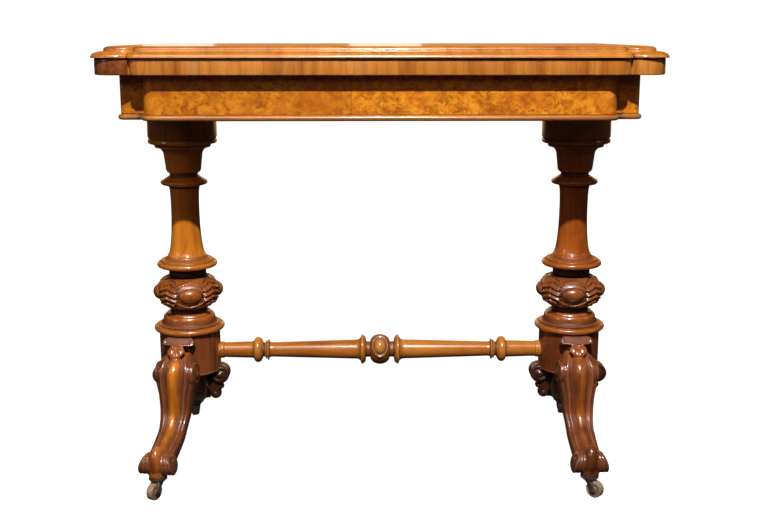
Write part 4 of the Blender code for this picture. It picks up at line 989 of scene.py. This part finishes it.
def addFrieze():
    for name, line, finish, node in (("frontFrieze", frontLine(0), friezeWood, "front_rail"),
                                     ("backFrieze", backLine(0), railWood, "back_rail")):
        rings = [[(p[0], p[1], z) for p in line] for z in (frieze["z"], frieze["top"])]
        addPiece(name, gridMesh(rings), "frame", finish, [node], smooth=32)
    front = beadMesh(lambda proud: frontLine(proud, frieze["ledge"]))
    back = beadMesh(lambda proud: backLine(proud, frieze["ledge"]))
    right = beadMesh(sideLine)
    left = mirrored(right, "X")
    for side, mesh in (("front", front), ("back", back), ("right", right), ("left", left)):
        addPiece(side + "BeadMould", markHollows(mesh, 1, 0.3 * mm), "frame", beadWood,
                 [side + "_bead"], smooth=32)


addFrieze()
print("frieze made")


# columns

column = {
    "x": (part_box("right_capital")[0].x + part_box("right_capital")[1].x) / 2,
    "drum": 52.4 * mm, "drumHigh": 73.2 * mm,
    "face": 54.3 * mm,  # legs, brackets and stretcher are measured from here
    "drumZ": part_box("left_drum")[0].z, "collarZ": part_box("left_base_collar")[0].z,
    "knopZ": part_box("left_carved_knop")[0].z, "shaftZ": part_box("left_column_shaft")[0].z,
    "shaftTop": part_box("left_column_shaft")[1].z, "capitalZ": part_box("left_capital")[0].z,
    "faces": {"left": 13, "right": -5},  # degrees that each knop is turned by
}
# turned profiles in mm: the first radius, then cuts with their kind, rise and end radius
collarCuts = (
    54.5, ("round", 5.4, 60.8), ("round", 5.0, 54.5), ("line", 0.8, 51.5), ("line", 1.0, 51.5),
    ("line", 0.4, 53.0), ("flare", 6.0, 45.0), ("round", 10.0, 40.0), ("line", 3.1, 38.0),
    ("line", 1.5, 33.0),
)
shaftFoot = (
    46.5, ("round", 5.0, 51.5), ("round", 4.6, 46.5), ("line", 1.4, 44.5), ("line", 2.0, 44.5),
    ("flare", 8.0, 33.0),
)
shaftHead = (
    ("flare", 35.0, 25.6), ("flare", 5.6, 29.5), ("line", 0.8, 33.5), ("round", 4.6, 39.6),
    ("round", 2.8, 38.0), ("line", 6.8, 27.5), ("flare", 4.4, 23.5), ("line", 3.0, 26.0),
    ("round", 9.0, 30.0), ("line", 20.5, 32.5), ("flare", 13.4, 46.6), ("line", 2.2, 47.2),
    ("flare", 4.0, 53.5), ("round", 4.2, 58.0), ("round", 4.0, 55.5),
)
turned = sum(rise for kind, rise, end in shaftFoot[1:] + shaftHead)
waist = (column["shaftTop"] - column["shaftZ"]) / mm - turned
shaftCuts = shaftFoot + (("flare", waist, 24.0),) + shaftHead
capitalCuts = (56.5, ("line", 2.0, 56.5), ("line", 0.7, 58.0), ("line", 41.0, 58.0))
knopCuts = (
    33.0, ("line", 2.0, 31.5), ("line", 5.3, 31.0), ("round", 30.0, 57.2), ("round", 25.7, 28.5),
    ("line", 1.5, 32.0), ("line", 14.7, 32.0),
)
carving = {
    "middle": 36.5 * mm, "stone": (20.5 * mm, 12.6 * mm), "stoneProud": 6.4 * mm,
    "rim": (42 * mm, 21.5 * mm), "rimProud": 2.4 * mm, "rimWide": 2.2 * mm, "bed": -2.2 * mm,
    "leafHalf": 24 * mm, "leafHigh": 23 * mm, "leafProud": 5.6 * mm, "lobes": 5,
    "leafStart": (22 * mm, 27 * mm), "ground": -3.4 * mm, "belly": (31 * mm, 45 * mm),
    "rings": 150, "sides": 448, "marks": (14, 0.8 * mm), "bedMark": 0.12, "neckMark": 0.3,
}


def knopRelief(u, v):  # height of the carving; u runs round from a stone's middle, v up
    a, b = carving["stone"]
    out = np.sqrt((u / a) ** 2 + (v / b) ** 2)
    stone = carving["stoneProud"] * np.sqrt(np.clip(1 - out ** 2, 0, 1))
    ra, rb = carving["rim"]  # the stone lies in an almond between two arcs
    away = (np.abs(v) - rb * (1 - (u / ra) ** 2)) / np.sqrt(1 + (2 * rb * u / ra ** 2) ** 2)
    rim = carving["rimProud"] * np.exp(-(away / carving["rimWide"]) ** 2)
    bed = carving["bed"] * smooth(away, -1 * mm, -4 * mm)
    return np.maximum(stone, rim + bed), bed * (out > 1)


def leafRelief(u, v):  # an acanthus leaf, its rib upright at u = 0
    share = np.clip(v / carving["leafHigh"], -1, 1)
    climb = share * 0.5 + 0.5
    lobes = np.abs(np.sin(math.pi * climb * carving["lobes"]))
    half = carving["leafHalf"] * np.sqrt(np.clip(1 - share ** 2, 0, 1)) * (0.6 + 0.4 * lobes ** 0.6)
    inside = smooth(half - np.abs(u), 0, 2 * mm)
    aside = np.abs(u) / carving["leafHalf"]
    veins = 0.5 + 0.5 * np.cos(turn * (carving["lobes"] * climb + 0.85 * aside))  # the lobes hang outwards
    rib = np.exp(-(u / (1.8 * mm)) ** 2)
    swell = 0.45 + 0.55 * np.sin(math.pi * np.clip(aside, 0, 1))
    return inside * carving["leafProud"] * (0.3 * swell + 0.6 * veins + 0.22 * rib)


def knopMesh():
    line = np.array([tuple(p) for p in turnedLine(knopCuts, 40, 0.5 * mm)])
    heights = np.linspace(0, line[-1][1], carving["rings"])
    radii = np.interp(heights, line[:, 1], line[:, 0])
    count = carving["sides"]
    angles = np.arange(count) * turn / count
    widest = radii.max()
    v = (heights - carving["middle"])[:, None]
    quarter = (angles + math.pi / 2 + math.pi / 4) % (math.pi / 2) - math.pi / 4
    u = (quarter * widest)[None, :]
    between = ((angles + math.pi / 2) % (math.pi / 2) - math.pi / 4)[None, :] * widest
    belly = smooth(radii, *carving["belly"])[:, None]
    setting, bed = knopRelief(u, v)
    leaves = leafRelief(between, v) * smooth(np.abs(u), *carving["leafStart"])
    reach = radii[:, None] + (np.maximum(setting, leaves) + carving["ground"]) * belly
    rings = np.stack([reach * np.cos(angles), reach * np.sin(angles), heights[:, None] + 0 * reach], -1)
    mesh = markHollows(gridMesh(rings), *carving["marks"])
    # the bed round the stone and the necks above and below get extra darkening: part dirt, part painted shade
    inBed = carving["bedMark"] * bed / carving["bed"] * (leaves < 0.5 * mm) * belly
    sunk = 0.5 + inBed + carving["neckMark"] * (1 - belly)
    return setMarks(mesh, np.maximum(getMarks(mesh), sunk.ravel()))


def addColumns():
    knop = knopMesh()
    for side, sign in sides.items():
        x = sign * column["x"]
        for name, node, cuts, z, finish in (
            ("TurnedBaseCollar", "_base_collar", collarCuts, "collarZ", collarWood[side]),
            ("TurnedColumnShaft", "_column_shaft", shaftCuts, "shaftZ", columnWood[side]),
            ("TurnedCapital", "_capital", capitalCuts, "capitalZ", columnWood["right"]),
        ):
            line = turnedLine(cuts)
            mesh = moved(gridMesh(spun(line)), x, 0, column[z])
            setMarks(mesh, np.repeat(turnedMarks(line), len(mesh.vertices) // len(line)))
            addPiece(side + name, mesh, "frame", finish, [side + node], smooth=50)
        carved = knop.copy()
        carved.transform(Matrix.Translation((x, 0, column["knopZ"]))
                         @ Matrix.Rotation(math.radians(column["faces"][side]), 4, "Z"))
        addPiece(side + "AcanthusKnop", carved, "frame", knopWood[side], [side + "_carved_knop"],
                 smooth=70)
        r, high = column["drum"], column["drumHigh"]
        bead = [Vector((r - 1.5 * mm + 2.5 * mm * math.cos(a), 2.2 * mm + 2.2 * mm * math.sin(a)))
                for a in np.linspace(-math.pi / 2, 0.7, 9)]
        wall = [(r - 0.4 * mm, 4.2 * mm), (r, 5 * mm), (r, high - 1 * mm), (r - 1 * mm, high)]
        line = fine(bead + eased(wall, 0.5 * mm))
        mesh = markHollows(moved(gridMesh(spun(line)), x, 0, column["drumZ"]), 2)
        addPiece(side + "TurnedDrum", mesh, "frame", drumWood[side], [side + "_drum"])


addColumns()
print("columns made")


# stretcher

stretcher = {
    "z": column["drumZ"] + 33.5 * mm, "face": column["x"] - column["face"],
    "collar": 14.6 * mm, "collarLong": 6 * mm, "end": 13.2 * mm, "tenon": 6 * mm, "tenonRadius": 9 * mm,
    "faces": math.radians(-120), "stone": (9.6 * mm, 14.4 * mm), "stoneProud": 4.4 * mm,
    "rim": (13.4 * mm, 20 * mm), "rimProud": 2.2 * mm, "rimWide": 1.7 * mm, "bed": -1.2 * mm,
    "carvedTo": (19 * mm, 16 * mm), "bossHalf": 28 * mm, "bossStep": 0.8 * mm, "rodStep": 2.5 * mm,
    "sides": 112,
}
stretcherCuts = (
    26.4, ("round", 17.0, 13.8), ("line", 3.0, 13.5), ("line", 4.5, 14.0), ("round", 4.0, 24.0),
    ("round", 3.4, 26.0), ("line", 1.6, 24.5), ("flare", 8.0, 17.0), ("line", 148.5, 12.8),
    ("line", 5.0, 13.4), ("line", 1.0, 16.0), ("round", 1.3, 18.4), ("round", 1.3, 16.0),
    ("flare", 1.2, 14.0), ("round", 1.2, 16.4), ("round", 1.2, 13.6), ("line", 1.3, 12.6),
    ("line", 3.2, 12.0), ("line", 0.4, 15.6), ("line", 1.2, 15.6), ("round", 7.6, 22.4),
    ("round", 6.5, 15.6), ("line", 1.3, 15.6), ("line", 0.3, 15.0), ("line", 4.0, 14.5),
)


def bossRelief(u, v):  # height and mark of the carving; u runs along the rod, v round it from a stone
    out = np.hypot(u / stretcher["stone"][0], v / stretcher["stone"][1])
    far = np.hypot(u / stretcher["rim"][0], v / stretcher["rim"][1])
    stone = stretcher["stoneProud"] * np.sqrt(np.clip(1 - out ** 2, 0, 1))
    rim = stretcher["rimProud"] * np.exp(-((far - 1) * stretcher["rim"][0] / stretcher["rimWide"]) ** 2)
    within = smooth(far, 0.98, 0.8)
    bed = stretcher["bed"] * within
    # the mark darkens the bed inside the rim (dirt and painted shade) and pales the rim and stone (wear and
    # painted highlight)
    mark = 0.7 - 0.42 * rim / stretcher["rimProud"] + 0.24 * within
    return np.maximum(bed + stone, bed + rim), np.where(out < 0.97, 0.22, mark)


def addStretcher():
    face, long, count = stretcher["face"], stretcher["collarLong"], stretcher["sides"]
    half = turnedLine(stretcherCuts, 8, 0.5 * mm) + eased([
        (stretcher["end"], face - long), (stretcher["collar"] - 0.6 * mm, face - long + 0.6 * mm),
        (stretcher["collar"], face - 0.66 * long), (stretcher["collar"], face + stretcher["tenon"]),
        (stretcher["tenonRadius"], face + stretcher["tenon"])], 0.6 * mm)
    bossLine = [p for p in half if p[1] < stretcher["bossHalf"]]
    half = fine(bossLine, stretcher["bossStep"]) + fine(half[len(bossLine):], stretcher["rodStep"])
    line = [(r, -z) for r, z in reversed(half[1:])] + [tuple(p) for p in half]
    radii, along = np.array(line).T[:, :, None]
    angles = (np.arange(count) * turn / count)[None, :]
    apart = (angles - stretcher["faces"] + math.pi / 2) % math.pi - math.pi / 2
    boss = smooth(np.abs(along), *stretcher["carvedTo"])
    relief, carved = bossRelief(along, apart * stretcherCuts[0] * mm)
    reach = radii + relief * boss
    rings = np.stack([reach * np.cos(angles), reach * np.sin(angles), along + 0 * reach], -1)
    mesh = moved(laid(gridMesh(rings), "X"), 0, 0, stretcher["z"])
    setMarks(mesh, (turnedMarks(line, 2.5 * mm)[:, None] * (1 - boss) + carved * boss).ravel())
    addPiece("turnedStretcher", mesh, "frame", stretcherWood, ["stretcher"], smooth=50)


addStretcher()
print("stretcher made")


# legs and brackets

leg = {
    "drum": column["face"], "reach": 151 * mm, "seat": column["drumZ"] - 124.2 * mm, "rise": 124.2 * mm,
    "knee": 34.5 * mm, "shank": 26 * mm, "ankle": 23 * mm, "toe": 22 * mm,
    "splay": {"left_front": 9, "right_front": 2, "left_back": 8, "right_back": 8},
    "volute": (20 * mm, 36 * mm), "volutePlace": (22 * mm, 15 * mm),
    "ear": (18.5 * mm, 10 * mm, 31 * mm), "earPlace": (129.5 * mm, 21 * mm), "ribs": 4,
    "knob": (19 * mm, 12.5 * mm, 25.5 * mm), "leaf": (16 * mm, 24 * mm, 28 * mm),
    "crestRise": 61 * mm, "crestProud": 19 * mm, "crestSpan": 22,
    "curl": (7.5 * mm, 4.5 * mm, 6.5 * mm), "curlOut": 10 * mm, "curlRise": 3 * mm,
    "castorBack": 19 * mm, "pad": (15 * mm, 12 * mm), "voxel": 1.15 * mm, "marks": (28, 2.1 * mm),
}
legStations = (  # back and front of the leg as shares of reach and rise, then the half width
    (-0.06, 1.37, 0.10, 1.39, 0.5 * leg["knee"]), (-0.06, 1.26, 0.26, 1.31, 0.85 * leg["knee"]),
    (-0.06, 1.15, 0.34, 1.20, leg["knee"]), (-0.06, 0.97, 0.37, 1.03, leg["knee"]),
    (0.01, 0.81, 0.37, 0.85, 0.85 * leg["knee"]), (0.09, 0.58, 0.38, 0.62, leg["shank"]),
    (0.21, 0.37, 0.48, 0.47, leg["ankle"]), (0.34, 0.24, 0.59, 0.40, leg["ankle"]),
    (0.56, 0.10, 0.76, 0.34, leg["toe"]), (0.74, 0.03, 0.89, 0.28, leg["toe"]),
    (0.82, 0.02, 0.95, 0.18, 0.95 * leg["toe"]), (0.87, 0.02, 0.94, 0.07, 0.75 * leg["toe"]),
)
legSection = (  # half of a section from back to front: shares of the half width and depth
    (0.0, 0.0), (0.5, 0.01), (0.84, 0.08), (0.97, 0.26), (1.0, 0.45), (0.985, 0.60), (0.93, 0.70),
    (0.86, 0.74), (0.80, 0.735), (0.75, 0.765), (0.68, 0.825), (0.60, 0.84), (0.52, 0.80), (0.45, 0.76),
    (0.39, 0.785), (0.32, 0.87), (0.22, 0.95), (0.11, 0.99), (0.0, 1.0),
)


def through(points, count, closed=False):  # a smooth curve through points, evenly stepped by index
    points = np.asarray(points, float)
    last = len(points) if closed else len(points) - 1
    places = np.linspace(0, last, count, endpoint=not closed)
    curve = []
    for t in places:
        k = min(int(t), last - 1)
        f = t - k
        if closed:
            p = [points[(k + d) % len(points)] for d in (-1, 0, 1, 2)]
        else:
            p = [points[min(max(k + d, 0), len(points) - 1)] for d in (-1, 0, 1, 2)]
        curve.append(0.5 * (2 * p[1] + (p[2] - p[0]) * f + (2 * p[0] - 5 * p[1] + 4 * p[2] - p[3]) * f ** 2
                            + (3 * p[1] - p[0] - 3 * p[2] + p[3]) * f ** 3))
    return np.array(curve)


def legBody():
    section = list(legSection) + [(-w, d) for w, d in reversed(legSection[1:-1])]
    section = through(section, 84, True)
    rings = []
    for backX, backZ, frontX, frontZ, half in through(legStations, 96):
        back = np.array([leg["drum"] + backX * leg["reach"], 0, leg["seat"] + backZ * leg["rise"]])
        front = np.array([leg["drum"] + frontX * leg["reach"], 0, leg["seat"] + frontZ * leg["rise"]])
        rings.append([back + (front - back) * d + np.array([0, w * half, 0]) for w, d in section])
    return gridMesh(rings)


scrollAngles = np.arange(72) * turn / 72


def scrollRing(radius, y):
    flat = [radius * np.cos(scrollAngles), y + 0 * scrollAngles, radius * np.sin(scrollAngles)]
    return np.stack(flat, -1)


def scrollMesh(radius, inner, outer, turns, start):  # a scroll about Y, its outer face cut with a spiral
    groove, eye, lip = 2.2 * mm, 0.3, 3.2 * mm
    rings = []
    for r in np.linspace(0.02, 1, 30):
        spiral = np.cos(turn * (turns * (1 - r) - (scrollAngles - start) / turn))
        cutIn = groove * (0.5 - 0.5 * spiral) * smooth(r, eye, eye + 0.12) * (1 - 0.8 * smooth(r, 0.86, 1))
        dome = 2.5 * mm * math.sqrt(max(0, 1 - (r / eye) ** 2)) if r < eye else 0
        edge = lip * smooth(r, 0.8, 1.0) ** 2
        rings.append(scrollRing(r * radius, outer + dome - cutIn - edge))
    for t in np.linspace(0, 1, 16)[1:]:
        swell = radius * (1 + 0.03 * math.sin(math.pi * t))
        rings.append(scrollRing(swell, outer - lip + (inner - outer + lip) * t))
    return gridMesh(rings)


def earMesh():  # one side of the toe: a ribbed dome, broad at its base, scrolled on its outer face
    radius, inner, outer = leg["ear"]
    rings = []
    for r in np.linspace(0.02, 1, 30):
        rise = 0.5 + 0.5 * r * np.sin(scrollAngles)
        wide = inner + (outer - inner) * np.sqrt(np.clip(1 - 0.92 * rise ** 2, 0, 1))
        spiral = np.cos(turn * (1.3 * (1 - r) - scrollAngles / turn))
        wide -= 1.3 * mm * (0.5 - 0.5 * spiral) * smooth(r, 0.3, 0.45) + 3 * mm * smooth(r, 0.8, 1.0) ** 2
        rings.append(scrollRing(r * radius, wide))
    edge = rings[-1]
    for t in np.linspace(0, 1, 26)[1:]:
        rib = 1 - 0.05 * (0.5 - 0.5 * math.cos(turn * leg["ribs"] * t))
        rings.append(np.stack([edge[:, 0] * rib, edge[:, 1] * (1 - t), edge[:, 2] * rib], -1))
    return gridMesh(rings)


def crestMesh():  # the moulded bar under the collar
    z, face, proud = column["drumZ"] + leg["crestRise"], leg["drum"], leg["crestProud"]
    section = eased([
        (face - 6 * mm, z - 1 * mm), (face + 0.6 * proud, z - 1 * mm), (face + 0.86 * proud, z - 0.2 * mm),
        (face + proud, z + 1.4 * mm), (face + 0.96 * proud, z + 2.8 * mm),
        (face + 0.84 * proud, z + 3.2 * mm), (face + 0.42 * proud, z + 10.4 * mm),
        (face - 6 * mm, z + 11 * mm)], 0.8 * mm)
    span = math.radians(leg["crestSpan"])
    return gridMesh([[(out * math.cos(a), out * math.sin(a), up) for out, up in section]
                     for a in np.linspace(-span, span, 41)])


def leafMesh():  # a leaf of three lobes that droops from the bar over the knee
    wide, long, proud = leg["leaf"]
    top = column["drumZ"] + leg["crestRise"] + 2 * mm
    rows, columns = 44, 45
    lobes = ((0.0, 0.74, 0.42), (-0.62, 0.42, 0.40), (0.62, 0.42, 0.40))  # place across and down, then size
    outline = (0, 0.2, 0.42, 0.6, 0.76, 0.92, 1), (0.5, 0.82, 1.0, 0.74, 0.6, 0.4, 0.12)
    droop = (0, 0.3, 0.6, 0.85, 1), (0.5, 0.78, 0.95, 1.0, 0.98)
    sheets = []
    for back in (0, 1):
        sheet = []
        for t in np.linspace(0, 1, rows):
            half = wide * np.interp(t, *outline)
            hang = leg["drum"] + proud * np.interp(t, *droop)
            for s in np.linspace(-1, 1, columns):
                y = s * half
                swell = math.sqrt(max(0, 1 - s * s))
                dome = max(max(0, 1 - ((y / wide - cy) ** 2 + (t - ct) ** 2) / r ** 2) ** 0.5
                           for cy, ct, r in lobes)
                out = hang + 2 * mm * swell + 3.6 * mm * dome - 1.2 * mm * math.exp(-(y / (1.2 * mm)) ** 2)
                out -= 2.5 * mm * (y / wide) ** 2
                if back:
                    out -= 10 * mm * swell + 0.6 * mm
                sheet.append((out, y, top - long * t))
        sheets.append(np.array(sheet).reshape(rows, columns, 3))
    return gridMesh([np.concatenate([front, behind[::-1]]) for front, behind in zip(*sheets)])


def legMesh():
    base = column["drumZ"]
    crest = base + leg["crestRise"]
    parts = [legBody(), crestMesh(), leafMesh()]
    r, half = leg["volute"]
    out, up = leg["volutePlace"]
    for mesh in bothSides(scrollMesh(r, 0.5 * half, half, 1.6, 2.2)):
        parts.append(moved(mesh, leg["drum"] + out, 0, base + up))
    out, up = leg["earPlace"]
    for mesh in bothSides(earMesh()):
        parts.append(moved(mesh, leg["drum"] + out, 0, leg["seat"] + up))
    deep, _, high = leg["knob"]
    parts.append(ovalMesh(leg["knob"], (leg["drum"] + leg["reach"] - deep, 0, leg["seat"] + high)))
    for sign in (-1, 1):  # curled ends of the crest
        a = math.radians(leg["crestSpan"]) * sign
        reach = leg["drum"] + leg["curlOut"]
        place = reach * math.cos(a), reach * math.sin(a), crest + leg["curlRise"]
        parts.append(ovalMesh(leg["curl"], place))
    wide, high = leg["pad"]
    pad = turnedMesh([(wide - 2 * mm, 0), (wide, 1.5 * mm), (wide, high)], 1 * mm, 40)
    parts.append(moved(pad, leg["drum"] + leg["reach"] - leg["castorBack"], 0, leg["seat"]))
    return markHollows(melted(leg["voxel"], *parts), *leg["marks"])


bracket = {
    "edge": column["face"] - 3 * mm, "drop": 9 * mm, "volute": (16 * mm, 18 * mm),
    "foot": (10 * mm, 46 * mm, 9 * mm), "bead": (6 * mm, 33 * mm), "half": 15 * mm, "root": 26 * mm,
    "voxel": 1.1 * mm, "marks": (8, 0.45 * mm),
}


def bracketMesh():
    base, edge, half = column["drumZ"], bracket["edge"], bracket["half"]
    axis = base - bracket["drop"]
    footR, footDrop, inset = bracket["foot"]
    footX, footZ = edge - inset, base - footDrop
    outline = through([
        (edge - bracket["root"], base + 8 * mm), (edge - 6 * mm, base + 8 * mm), (edge + 2 * mm, axis),
        (edge - 4 * mm, base - 24 * mm), (footX + 6 * mm, footZ + 4 * mm), (footX - 6 * mm, footZ + 2 * mm),
        (edge - 22 * mm, base - 26 * mm), (edge - bracket["root"], axis)], 64, True)
    web = gridMesh([[(x, y, z) for x, z in outline] for y in (-0.8 * half, 0.8 * half)])
    r, wide = bracket["volute"]
    parts = [web] + [moved(m, edge, 0, axis) for m in bothSides(scrollMesh(r, -1 * mm, wide, 1.5, 1.0))]
    parts.append(ovalMesh((footR, 0.95 * half, footR), (footX, 0, footZ)))
    beadR, beadDrop = bracket["bead"]
    parts.append(ovalMesh((beadR, 0.65 * half, beadR), (edge, 0, base - beadDrop)))
    return markHollows(melted(bracket["voxel"], *parts), *bracket["marks"])


def addLegs():
    carved, scroll = legMesh(), bracketMesh()
    for side, sign in sides.items():
        foot = Matrix.Translation((sign * column["x"], 0, 0))
        for end, way in (("front", -1), ("back", 1)):
            corner = f"{side}_{end}"
            heading = math.radians(way * (90 - sign * leg["splay"][corner]))
            place = foot @ Matrix.Rotation(heading, 4, "Z")
            addPiece(f"{side}{end.title()}CarvedLeg", carved.copy(), "frame", legWood[side],
                     [corner + "_leg"], place, 70)
        for name, heading in (("outer", 90 - sign * 90), ("inner", 90 + sign * 90)):
            place = foot @ Matrix.Rotation(math.radians(heading), 4, "Z")
            addPiece(f"{side}{name.title()}ScrollBracket", scroll.copy(), "frame", shadedBracketWood,
                     [f"{side}_{name}_bracket"], place, 70)


addLegs()
print("legs and brackets made")


# castors

castor = {
    "axleZ": 14.006 * mm, "wheel": 13.95 * mm, "wide": 13 * mm, "axle": 2.2 * mm, "bore": 2.7 * mm,
    "crownZ": 29.306 * mm, "crown": 12 * mm, "crownThick": 2.6 * mm, "pin": 4 * mm, "trail": 11 * mm,
    "cheekIn": 7.1 * mm, "cheek": 2 * mm, "eye": 5 * mm,
    "plateZ": 32.206 * mm, "plate": 15 * mm, "plateThick": 4 * mm, "screw": 2.1 * mm, "screwRing": 10 * mm,
}


def cheekMesh(inner):
    z, eye, trail = castor["axleZ"], castor["eye"], castor["trail"]
    top = castor["crownZ"] + castor["crownThick"] / 2
    line = [(-6 * mm, top), (6 * mm, top)]
    line += [(trail + eye * math.cos(a), z + eye * math.sin(a))
             for a in np.linspace(0.35, -math.pi + 0.2, 14)]
    line.append((trail - eye - 1.5 * mm, z + 5 * mm))
    mesh = gridMesh([[(x, y, h) for x, h in line] for y in (inner, inner + castor["cheek"])])
    return softened(mesh, 0.45 * mm)


def forkMesh():
    base, high = castor["crownZ"], castor["crownThick"]
    pinTop = castor["plateZ"] + castor["plateThick"]
    end = castor["cheekIn"] + castor["cheek"]
    crown, pin, axle = castor["crown"], castor["pin"], castor["axle"]
    line = [(pin, base), (crown, base), (crown, base + high), (pin, base + high)]
    disc = turnedMesh(line, 0.8 * mm, 40)
    stem = turnedMesh([(pin, base + 1 * mm), (pin, pinTop), (1 * mm, pinTop)], 0.6 * mm, 24)
    parts = [disc, stem, cheekMesh(castor["cheekIn"]), cheekMesh(-end)]
    line = [(axle, end), (axle, end + 0.5 * mm), (0.5 * mm, end + 0.8 * mm)]
    line = [(r, -y) for r, y in reversed(line)] + line
    rivet = laid(turnedMesh(line, 0.4 * mm, 24), "Y")
    parts.append(moved(rivet, castor["trail"], 0, castor["axleZ"]))
    return markHollows(joined(*parts), 2, 0.4 * mm)


def wheelMesh():
    r, half = castor["wheel"], castor["wide"] / 2
    line = [(castor["bore"], half - 0.6 * mm), (5 * mm, half - 0.3 * mm), (5.6 * mm, half - 1.1 * mm),
            (0.7 * r, half - 0.9 * mm), (0.86 * r, half - 0.5 * mm)]
    line += [(r - 2.2 * mm + 2.2 * mm * math.sin(a), 0.62 * half + 0.3 * half * math.cos(a))
             for a in np.linspace(0.2, math.pi / 2, 6)]
    line = [(rr, -h) for rr, h in line] + [(rr, h) for rr, h in reversed(line)]
    line.append(line[0])
    mesh = welded(turnedMesh(line, 0.3 * mm, 56, False))
    return markHollows(laid(mesh, "Y"), 2, 0.4 * mm)


def plateMesh():
    low, high, r = castor["plateZ"], castor["plateThick"], castor["plate"]
    bore = castor["pin"] + 0.5 * mm
    line = [(bore, low), (r, low), (r, low + high), (bore, low + high), (bore, low)]
    parts = [welded(turnedMesh(line, 0.5 * mm, 48, False))]
    for k in range(3):
        a = turn * k / 3 + 0.4
        screw = screwMesh(castor["screw"])
        screw.transform(Matrix.Rotation(math.pi, 4, "X"))
        ring = castor["screwRing"]
        parts.append(moved(screw, ring * math.cos(a), ring * math.sin(a), low + 0.2 * mm))
    return markHollows(joined(*parts), 2, 0.4 * mm)


def addCastors():
    fork, wheel, plate = forkMesh(), wheelMesh(), plateMesh()
    joints = {joint["name"]: joint for joint in frame["joints"]}
    for corner in leg["splay"]:
        stem = "".join(word.title() if k else word for k, word in enumerate(corner.split("_")))
        swivel = Vector(joints[corner + "_castor_swivel"]["pos_m"])
        centre = Vector(joints[corner + "_castor_roll"]["pos_m"])
        heading = math.atan2(centre.y - swivel.y, centre.x - swivel.x)
        stand = Matrix.Translation((swivel.x, swivel.y, 0))
        spin = Matrix.Rotation(heading, 4, "Z")
        addPiece(stem + "CastorPlate", plate.copy(), "frame", ironMetal,
                 [corner + "_castor_plate"], stand)
        addPiece(stem + "CastorFork", fork.copy(), corner + "_castor", ironMetal,
                 [corner + "_castor_fork"], stand @ spin)
        addPiece(stem + "CastorWheel", wheel.copy(), corner + "_roller", wheelWood,
                 [corner + "_castor_wheel"], Matrix.Translation(centre) @ spin, 45)


addCastors()
print("castors made")


# solids that keep their own shape

keptFinishes = {
    "left_rail": railWood, "right_rail": railWood,
    "left_column_bearer": pineDeep, "right_column_bearer": pineDeep,
    "well_floor": pineAcross, "pivot_bearer": pineDeep, "well_partition": pineDeep, "stop_peg": pegWood,
    "pivot_plate": ironMetal, "pivot_bolt": ironMetal, "pivot_washer": ironMetal, "pivot_nut": ironMetal,
}
for name, finish in keptFinishes.items():
    solid = frame["nodes"][name]
    solid.data.materials.clear()
    solid.data.materials.append(finish.material)

glow = {"Emission_Color": (1, 1, 1, 1), "Emission_Strength": 1.0}
floorFinish = Finish("pale floor", Roughness=0.9, **glow)
speck = floorFinish.noise(floorFinish.place(), 2.0, 3.0)
floorFinish.give(Base_Color=floorFinish.ramp(speck, (0.3, (0.30, 0.30, 0.298)), (0.7, (0.34, 0.34, 0.338))))
floor = bpy.data.objects.new("floor", boxMesh((-9, -9, -0.02), (9, 9, 0)))
floor.data.materials.append(floorFinish.material)
domeFinish = Finish("pale wall", Roughness=1.0, Base_Color=(0.9, 0.9, 0.9, 1), **glow)
dome = bpy.data.objects.new("wall", gridMesh(spun([(8.8, -0.01), (8.8, 6), (6, 8.6), (0.1, 9.4)], 48)))
dome.data.materials.append(domeFinish.material)
for backdrop in (floor, dome):
    scene.collection.objects.link(backdrop)
    backdrop.visible_diffuse = False
    backdrop.visible_glossy = False
dome.visible_shadow = False

print("scene ready")
